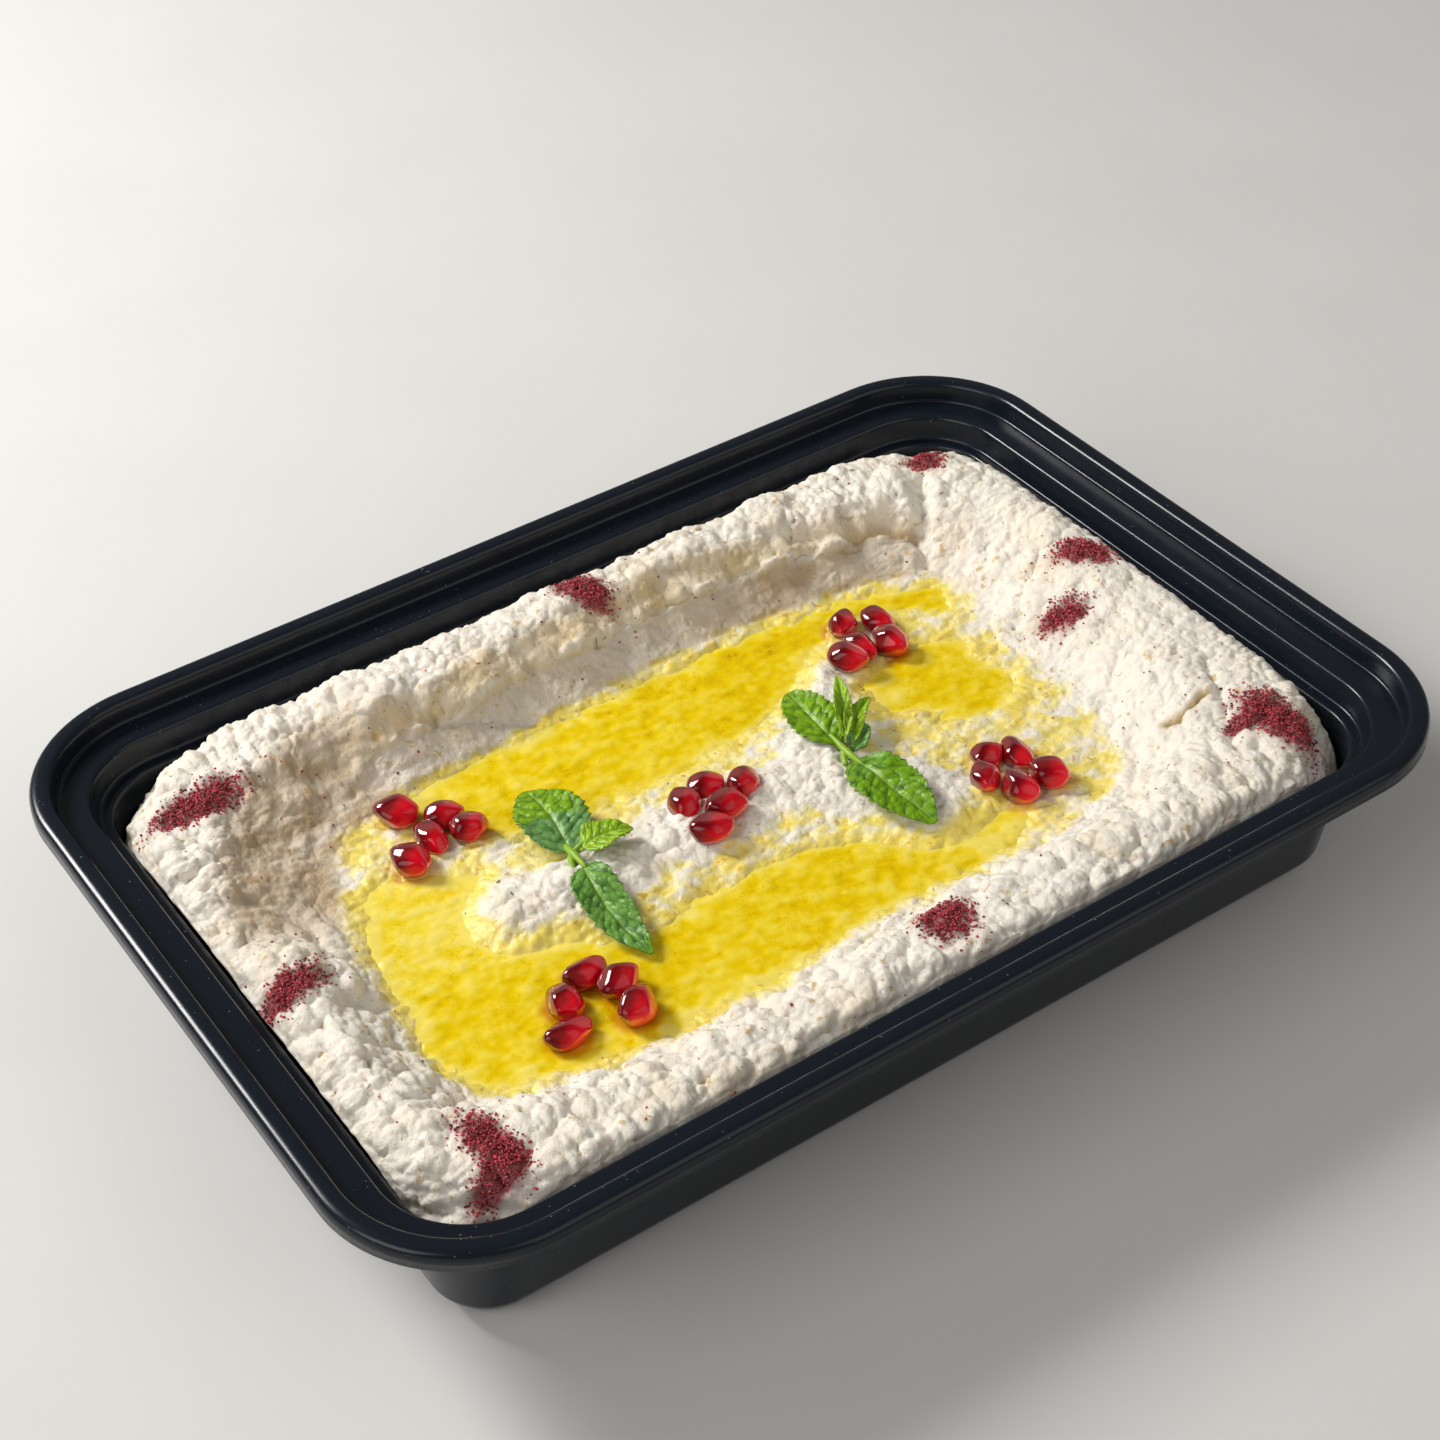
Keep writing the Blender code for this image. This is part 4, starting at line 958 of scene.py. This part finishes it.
def make_aril(low, high, heading, seed):
    """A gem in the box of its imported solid: for planes i with directions n and reaches h, the
    surface in direction d is at 1 / (sum of (d.n / h) to the power p) to the power 1/p."""
    rng = np.random.default_rng(seed)
    rows, columns = ARIL_GRID
    tilt = np.linspace(0, math.pi, rows)[:, None]
    turn = np.linspace(0, 2 * math.pi, columns, endpoint=False)[None, :]
    across = np.sin(tilt)
    d = np.stack([np.cos(tilt) + 0 * turn, across * np.cos(turn), across * np.sin(turn)], -1)
    spin = np.arange(ARIL_PLANES) * 2.4 + rng.uniform(0, 6)
    tips = np.linspace(-0.92, 0.92, ARIL_PLANES)
    side = np.sqrt(1 - tips**2)
    n = np.stack([tips, side * np.cos(spin), side * np.sin(spin)], -1)
    h = rng.uniform(0.86, 1.0, ARIL_PLANES)
    reach = (np.clip(d @ n.T, 0, None) / h) ** ARIL_POWER
    r = 1 / (reach.sum(-1) + 0.5) ** (1 / ARIL_POWER)
    shape = d * r[..., None]
    taper = 1 - ARIL_TAPER * np.clip(shape[..., :1], 0, 1) ** 1.5
    shape[..., 1:] *= taper
    shape[..., 2] += 0.12 * shape[..., 0] ** 2
    c, s = math.cos(heading), math.sin(heading)
    x, y = shape[..., 0] * ARIL_LONG, shape[..., 1]
    turned = np.stack([x * c - y * s, x * s + y * c, shape[..., 2] * 0.95], -1)
    size = (high - low) / np.ptp(turned.reshape(-1, 3), axis=0)
    middle = (turned.reshape(-1, 3).max(0) + turned.reshape(-1, 3).min(0)) / 2
    placed = press_flat((turned - middle) * size * ARIL_PLUMP + (high + low) / 2, low, high)
    top, foot = placed[..., 2].max(), placed[..., 2].min()
    up = (placed[..., 2] - foot) / (top - foot)
    sideways = placed - (high + low) / 2
    sideways /= np.linalg.norm(sideways, axis=-1, keepdims=True)
    # Painted glow: brighter on the side facing the glow's direction, darker towards the top and the foot
    glow = 0.35 + 0.75 * (sideways @ PAINTED_GLOW_SIDE) - 0.5 * np.abs(up - 0.5)
    one_side = reach.max(-1) / reach.sum(-1)
    pale = 0.8 * ease((d[..., 0] - 0.86) / 0.14) + 0.35 * ease((one_side - 0.92) / 0.08)
    points = placed.reshape(-1, 3)
    faces = grid_quads(rows, columns, ring=True)
    return points, faces, glow.ravel(), np.clip(pale, 0, 1).ravel()


for number, name in enumerate(ARIL_NAMES):
    low, high = aril_boxes[number]
    heading = math.radians(HEADINGS[number])
    points, faces, glow, pale = make_aril(low, high, heading, seed=100 + number)
    aril = add_piece(name + "_gem", points, faces.tolist(), pomegranate, {"glow": glow, "pale": pale})
    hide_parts(name)

# %% [markdown]
# ## Mint
#
# A mint leaf is quilted: between its side veins the blade swells in small bumps, with painted light
# on their tops and painted shade between them, and its edge is toothed. Each leaf is one grid from
# stalk to tip. The veins are lines of equal phase that slant from the midrib towards the tip, and
# both skins are made, so that the leaf has a thickness.

# %% Finish of the leaves
# Dark and light tones of the blade, between which its painted cushion light chooses: green, the yellower
# young leaves, and a painted bluish sheen
GREEN = ((0.016, 0.075, 0.001, 1), (0.145, 0.325, 0.003, 1))
YOUNG_GREEN = ((0.09, 0.20, 0.002, 1), (0.29, 0.46, 0.010, 1))
PAINTED_SHEEN_GREEN = ((0.016, 0.085, 0.022, 1), (0.155, 0.33, 0.12, 1))
VEIN_GREEN = (0.26, 0.42, 0.05, 1)
mint_leaf, wire, shader = new_finish(
    "mint_leaf", Roughness=0.36, Specular_IOR_Level=0.34, Subsurface_Weight=0.08,
    Subsurface_Radius=(0.3, 1.0, 0.15), Subsurface_Scale=0.0006,
)
vein, bright, tint, cool = wire.read("vein"), wire.read("bright"), wire.read("tint"), wire.read("cool")
blotch = wire.noise(3.0, detail=4.0)
# Painted light and shade: lighter on the cushions' tops, darker between them and by the veins
shade = (bright + 0.5 * (blotch - 0.5)).clamp(0.05, 0.9)
colour = shade.mix(*GREEN)
colour = tint.mix(colour, shade.mix(*YOUNG_GREEN))
# Painted sheen: bluish green where the leaf would reflect the sky
colour = (cool * 0.75).mix(colour, shade.mix(*PAINTED_SHEEN_GREEN))
colour = (vein * 0.65).mix(colour, VEIN_GREEN)
connect(colour, shader, "Base Color")
connect(wire.noise(0.5, detail=3.0).bump(0.45, 0.2), shader, "Normal")

# %% Leaf surfaces
LEAF_GRID = (120, 64)
LEAF_SKIN = 0.3
# Share of a leaf's length that is its stalk
STALK = 0.08
VEIN_PAIRS, TOOTH = 6.0, 0.07
# Leaves: (stalk end, tip, width, height over the dip, tip's lift, edges' lift, sideways bend, arch,
# yellow tint, share of painted bluish sheen and how far along the leaf it ends)
MINT = {
    "mint_sprig_left": (
        ((-34.0, 1.0), (-31.0, 23.0), 13.0, 1.3, -0.4, 1.2, 0.4, 2.2, 0.25, 1.0, 0.50),
        ((-33.0, 0.2), (-22.4, -0.6), 8.6, 2.6, 0.2, 1.0, -0.6, 0.8, 0.85, 0.0, 0.0),
        ((-34.0, -0.6), (-35.4, -26.4), 8.8, 1.1, 0.4, 1.4, 1.6, 0.8, 0.0, 0.55, 1.0),
    ),
    "mint_sprig_right": (
        ((21.0, -4.2), (23.2, 15.8), 9.8, 1.1, 0.8, 1.6, -0.6, 0.8, 0.35, 0.0, 0.0),
        ((21.8, -4.8), (30.6, 9.8), 3.4, 3.2, 1.2, 1.4, 0.4, 0.6, 1.0, 0.0, 0.0),
        ((22.6, -5.8), (33.2, 3.0), 3.8, 2.6, 1.0, 1.6, -1.0, 0.8, 0.9, 0.0, 0.0),
        ((22.0, -6.4), (28.4, -3.2), 3.6, 1.9, 1.4, 1.4, 0.0, 0.4, 0.2, 0.8, 1.0),
        ((21.0, -7.0), (23.0, -30.2), 11.8, 1.1, 0.6, 1.6, 0.8, 1.4, 0.15, 0.25, 0.4),
    ),
}


def make_leaf(base, tip, width, clear, lift, edge_lift, bend, arch, tint, cool, painted_sheen_end, seed):
    """Half the leaf's width follows a sine of the way along, with small teeth. The blade is a
    network of small cushions, packed between side veins that slant from the midrib to the tip."""
    rows, columns = LEAF_GRID
    v, u = np.meshgrid(np.linspace(0, 1, rows), np.linspace(-1, 1, columns), indexing="ij")
    base, tip = np.array(base), np.array(tip)
    ahead = tip - base
    length = np.linalg.norm(ahead)
    side = np.array([ahead[1], -ahead[0]]) / length
    blade = np.clip((v - STALK) / (1 - STALK), 0, 1)
    phase = VEIN_PAIRS * (blade - 0.22 * np.abs(u)) + 0.25 * np.sign(u)
    teeth = 1 + TOOTH * (1 - 2 * (2 * phase % 1.0)) * np.abs(u) ** 5
    outline = 0.05 + 0.95 * np.sin(math.pi * blade**0.72) ** 0.75
    across = u * outline * teeth * width / 2
    x = base[0] + v * ahead[0] + (across + bend * np.sin(math.pi * v)) * side[0]
    y = base[1] + v * ahead[1] + (across + bend * np.sin(math.pi * v)) * side[1]
    under = np.maximum(dip_form(x, y)["height"], OIL_LEVEL)
    fold = edge_lift * 0.5 * u * u * outline
    wavy = 0.6 * np.sin(seed + 9.0 * v + 1.6 * np.sign(u)) * u * u * outline
    place_x, place_y = across + 40 * seed, v * length - 0.35 * np.abs(across)
    cushions = pebbles(place_x + 0.3 * waves(place_x, place_y, 2.0, 53), place_y * 1.25, 1.25, 51)
    fine = pebbles(place_x, place_y, 0.75, 52)
    rib = 1 - np.exp(-((u * width / 1.1) ** 2))
    between = np.abs(np.sin(math.pi * phase)) ** 0.5
    full = ease(blade / 0.12) * ease((1 - blade) / 0.08)
    relief = (0.62 * cushions + 0.22 * fine) * (0.45 + 0.55 * between) * rib * full * outline**0.5
    z = under + clear + lift * v**2 + arch * np.sin(math.pi * v) + fold + wavy + relief
    middle = np.stack([x, y, z], -1)
    normals = grid_normals(middle)
    normals *= np.sign(normals[..., 2:].mean())
    rim = np.exp(-((u * width / 0.9) ** 2)) * (1 - 0.75 * blade)
    lines = np.exp(-((np.sin(math.pi * phase) / 0.12) ** 2)) * ease(np.abs(u) / 0.1)
    vein = np.clip(rim + 0.35 * lines * full, 0, 1)
    # Painted light on the cushions' tops and painted shade between them
    bright = cushions * (0.5 + 0.5 * between)
    # Painted sheen on the part of the leaf nearer the stalk
    edge = painted_sheen_end + 0.12 * waves(x, y, 4.0, 54)
    sheen_share = cool * ease((edge - v) / 0.1)
    numbers = {"vein": vein, "bright": bright, "tint": tint + 0 * v, "cool": sheen_share}
    top, bottom = middle + normals * LEAF_SKIN / 2, middle - normals * LEAF_SKIN / 2
    points, faces = closed_sheet(top, bottom)
    return points, faces, {label: np.tile(values.ravel(), 2) for label, values in numbers.items()}


# %% Stems and whole sprigs
# Stems: a route of (x, y, height over the dip) and the radius at each of its points
STEMS = {
    "mint_sprig_left": (
        (((-33.6, 6.0, 1.7), (-34.0, 2.5, 2.2), (-34.2, 0.0, 2.2), (-34.4, -4.0, 1.8)),
         (0.35, 0.7, 0.75, 0.35)),
        (((-34.6, 1.0, 1.9), (-36.0, -1.8, 1.4), (-37.6, -6.0, 0.9)), (0.65, 0.6, 0.55)),
        (((-34.0, 1.2, 2.2), (-32.0, 1.4, 3.0), (-29.6, 0.6, 3.2)), (0.5, 0.45, 0.3)),
    ),
    "mint_sprig_right": (
        (((21.4, -1.0, 2.0), (21.2, -4.6, 2.2), (21.2, -7.6, 2.0), (21.4, -11.0, 1.7)),
         (0.35, 0.7, 0.7, 0.35)),
        (((21.2, -5.2, 2.0), (20.0, -6.8, 1.4), (19.2, -8.4, 1.0)), (0.65, 0.6, 0.5)),
    ),
}
STEM_MARKS = {"vein": 0.7, "bright": 0.7, "tint": 0.6, "cool": 0.0}


def make_tube(route, radii, around=12):
    """A round stem along a smooth route: rings of points at right angles to it, drawn in at both
    ends, where the leaves and the dip cover them."""
    route, radii = np.asarray(route, float), np.asarray(radii, float)
    t = np.linspace(0, len(route) - 1, 8 * (len(route) - 1) + 1)
    whole = np.arange(len(route))
    spine = np.stack([np.interp(t, whole, route[:, axis]) for axis in range(3)], 1)
    for _ in range(6):
        spine[1:-1] = (spine[:-2] + 2 * spine[1:-1] + spine[2:]) / 4
    radius = np.interp(t, whole, radii)
    radius[0] = radius[-1] = 0.02
    ahead = np.gradient(spine, axis=0)
    ahead /= np.linalg.norm(ahead, axis=1, keepdims=True)
    side = np.cross(ahead, [0.0, 0.0, 1.0])
    side /= np.linalg.norm(side, axis=1, keepdims=True)
    up = np.cross(side, ahead)
    turn = np.linspace(0, 2 * math.pi, around, endpoint=False)
    ring = np.cos(turn)[None, :, None] * side[:, None] + np.sin(turn)[None, :, None] * up[:, None]
    points = (spine[:, None] + radius[:, None, None] * ring).reshape(-1, 3)
    return points, grid_quads(len(spine), around, ring=True)


def make_sprig(name, leaves, number):
    """All leaves and stems of a sprig as one mesh, with the finish's numbers at each point."""
    points, faces, count = [], [], 0
    numbers = {label: [] for label in STEM_MARKS}
    for k, leaf in enumerate(leaves):
        blade, quads, marks = make_leaf(*leaf, seed=4 * number + k)
        points.append(blade)
        faces.append(quads + count)
        for label, values in marks.items():
            numbers[label].append(values)
        count += len(blade)
    for route, radii in STEMS[name]:
        ground = np.array([dip_form(np.array([x]), np.array([y]))["height"][0] for x, y, _ in route])
        lifted = np.array(route, float)
        lifted[:, 2] += np.maximum(ground, OIL_LEVEL)
        stem, quads = make_tube(lifted, radii)
        points.append(stem)
        faces.append(quads + count)
        for label, value in STEM_MARKS.items():
            numbers[label].append(np.full(len(stem), value))
        count += len(stem)
    numbers = {label: np.concatenate(values) for label, values in numbers.items()}
    return np.concatenate(points), np.concatenate(faces), numbers


for number, (name, leaves) in enumerate(MINT.items()):
    points, faces, numbers = make_sprig(name, leaves, number)
    sprig = add_piece(name + "_leaves", points, faces.tolist(), mint_leaf, numbers)
    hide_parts(name)

# %% [markdown]
# ## Sumac
#
# Ground sumac is thousands of dark red grains. They could be instances on the surface, but one mesh
# made by adding arrays is simpler to hand on. One grain is a twenty-sided ball, squashed and turned
# at random, and it falls on a square of the dip's own grid by chance. Most lie in the pinches, and
# some have strayed over the banks.

# %% Finish of the sumac
SUMAC_DARK, SUMAC_BRIGHT = (0.07, 0.005, 0.010, 1), (0.60, 0.055, 0.075, 1)
sumac_red, wire, shader = new_finish("sumac_red", Roughness=0.6)
shade = wire.read("shade")
connect(shade.mix(SUMAC_DARK, SUMAC_BRIGHT), shader, "Base Color")
connect(wire.noise(0.25, detail=2.0).bump(0.4, 0.2), shader, "Normal")

# %% Sumac grains
GRAINS, GRAIN_SIZE, GRAIN_FLATNESS = 7600, (0.11, 0.32), (1.0, 1.0, 0.8)
HALO_SHARE, STRAY_SHARE = 0.02, 0.0009
BALL_CORNERS = 12


def grain_places(rng):
    """Random points of the dip's surface, in each square of its grid as many as the sumac is thick
    there, with a thin halo round each spot and a few strays over the banks."""
    x, y = surface[:-1, :-1, 0], surface[:-1, :-1, 1]
    thick = sprinkled(x, y)
    thick = thick + HALO_SHARE * thick**0.3 + STRAY_SHARE
    across, down = np.gradient(surface[:-1, :-1, :2], axis=(1, 0))
    squares = np.abs(across[..., 0] * down[..., 1] - across[..., 1] * down[..., 0])
    banks = (surface_form["away"] > 1.0) & (surface_form["edge"] > -4.0)
    chance = (thick * squares * banks[:-1, :-1]).ravel()
    square = rng.choice(chance.size, GRAINS, p=chance / chance.sum())
    i, j = np.divmod(square, x.shape[1])
    a, b = rng.uniform(0, 1, (2, GRAINS, 1))
    near = surface[i, j] * (1 - b) + surface[i, j + 1] * b
    far = surface[i + 1, j] * (1 - b) + surface[i + 1, j + 1] * b
    return near * (1 - a) + far * a


def twenty_sided_ball():
    """Corners and outward triangles of a regular ball of twenty sides. Its corners are those of
    three golden rectangles, and three corners make a side where each two are neighbours."""
    golden = (1 + math.sqrt(5)) / 2
    corner = [(a, b * golden, 0) for a in (-1, 1) for b in (-1, 1)]
    ball = np.array([np.roll(point, axis) for axis in range(3) for point in corner])
    ball = ball / math.hypot(1, golden)
    gaps = np.linalg.norm(ball[:, None] - ball[None], axis=2) < 1.1
    triples = [
        (a, b, c)
        for a in range(BALL_CORNERS)
        for b in range(a + 1, BALL_CORNERS)
        for c in range(b + 1, BALL_CORNERS)
        if gaps[a, b] and gaps[b, c] and gaps[a, c]
    ]
    sides = np.array(triples)
    a, b, c = ball[sides[:, 0]], ball[sides[:, 1]], ball[sides[:, 2]]
    outward = (np.cross(b - a, c - a) * a).sum(1) > 0
    return ball, np.where(outward[:, None], sides, sides[:, ::-1])


def make_grains():
    """Every grain is the ball times a random size and unevenness, turned, heaped and moved."""
    rng = np.random.default_rng(61)
    place = grain_places(rng)
    x, y, z = place.T
    ball, outward = twenty_sided_ball()
    size = rng.uniform(*GRAIN_SIZE, (GRAINS, 1)) * rng.uniform(0.65, 1.25, (GRAINS, 3)) * GRAIN_FLATNESS
    angle = rng.uniform(0, 2 * math.pi, GRAINS)
    shaped = ball[None] * size[:, None] * rng.uniform(0.8, 1.15, (GRAINS, BALL_CORNERS, 1))
    c, s = np.cos(angle)[:, None], np.sin(angle)[:, None]
    turned = np.stack([
        shaped[..., 0] * c - shaped[..., 1] * s, shaped[..., 0] * s + shaped[..., 1] * c, shaped[..., 2]
    ], -1)
    heap = rng.uniform(-0.05, 0.75, GRAINS) * np.clip(sprinkled(x, y), 0, 1) + 0.05
    points = turned + np.stack([x, y, z + heap], 1)[:, None]
    faces = outward[None] + BALL_CORNERS * np.arange(GRAINS)[:, None, None]
    shade = np.repeat(rng.uniform(0, 1, GRAINS), BALL_CORNERS)
    return points.reshape(-1, 3), faces.reshape(-1, 3), shade


grain_points, grain_faces, shade = make_grains()
sumac = add_piece("sumac_grains", grain_points, grain_faces.tolist(), sumac_red, {"shade": shade})

# %% [markdown]
# ## Floor, light and camera
#
# A pale floor and soft light. The key light comes from behind on the left, as the shaded slope
# at the back of the hollow shows, and two wide lights and a soft room fill its shadows. The camera
# is set from the tray's rim: its two pairs of parallel sides fix the direction, and the rim's size
# fixes the distance.

# %% Floor
FLOOR_HALF = 1.4
FLOOR_GREY, FLOOR_LIGHT = (0.60, 0.595, 0.585, 1), (0.615, 0.61, 0.60, 1)
floor_finish, wire, shader = new_finish("pale_floor", Roughness=0.75)
grey = wire.noise(60.0, detail=3.0).clamp(0.3, 0.7)
connect(grey.mix(FLOOR_GREY, FLOOR_LIGHT), shader, "Base Color")
floor_mesh = bpy.data.meshes.new("floor")
corners = [(FLOOR_HALF * a, FLOOR_HALF * b, 0) for a, b in ((-1, -1), (1, -1), (1, 1), (-1, 1))]
floor_mesh.from_pydata(corners, [], [(0, 1, 2, 3)])
floor_mesh.materials.append(floor_finish)
floor = bpy.data.objects.new("floor", floor_mesh)
bpy.context.scene.collection.objects.link(floor)
floor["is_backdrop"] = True

# %% Lights
def add_soft_light(name, place, size, power, colour):
    """A square area light at a place in metres that faces the tray."""
    lamp = bpy.data.lights.new(name, "AREA")
    lamp.size = size
    lamp.energy = power
    lamp.color = colour
    light = bpy.data.objects.new(name, lamp)
    light.location = place
    light.rotation_euler = Vector(place).to_track_quat("Z", "Y").to_euler()
    bpy.context.scene.collection.objects.link(light)


add_soft_light("key", (-0.40, 0.70, 0.64), 0.30, 11.2, (1.0, 0.98, 0.95))
add_soft_light("window", (-1.2, -0.15, 0.85), 0.9, 8.0, (1.0, 0.985, 0.96))
add_soft_light("front_fill", (0.4, -1.0, 0.9), 1.2, 4.6, (1.0, 0.97, 0.93))
ROOM_COLOUR, ROOM_STRENGTH = (0.78, 0.77, 0.75, 1), 0.23
world = bpy.data.worlds.new("soft_room")
world.use_nodes = True
room = world.node_tree.nodes["Background"]
room.inputs["Color"].default_value = ROOM_COLOUR
room.inputs["Strength"].default_value = ROOM_STRENGTH
bpy.context.scene.world = world
bpy.context.scene.view_settings.view_transform = "Standard"

# %% Camera
# Angles and aim come from the fit to the rim. The focal length is in widths of the picture.
AZIMUTH, ELEVATION, ROLL = math.radians(-32.938), math.radians(39.869), math.radians(-2.492)
DISTANCE = 474.283 * MM
AIM = Vector((0.091, 3.875, TRAY_HEIGHT)) * MM
FOCAL_SHARE = 2625.62 / 1440

back = Vector((
    math.sin(AZIMUTH) * math.cos(ELEVATION), -math.cos(AZIMUTH) * math.cos(ELEVATION), math.sin(ELEVATION)
))
level = Vector((0, 0, 1)).cross(back).normalized()
upright = back.cross(level)
right = math.cos(ROLL) * level + math.sin(ROLL) * upright
up = math.cos(ROLL) * upright - math.sin(ROLL) * level
lens = bpy.data.cameras.new("camera")
lens.lens = lens.sensor_width * FOCAL_SHARE
lens.clip_start = 0.01
camera = bpy.data.objects.new("camera", lens)
facing = Matrix((right, up, back)).transposed().to_4x4()
camera.matrix_world = Matrix.Translation(AIM + back * DISTANCE) @ facing
bpy.context.scene.collection.objects.link(camera)
bpy.context.scene.camera = camera
print("camera at", [round(value, 3) for value in camera.matrix_world.translation])

# %% The finished model
low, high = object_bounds()
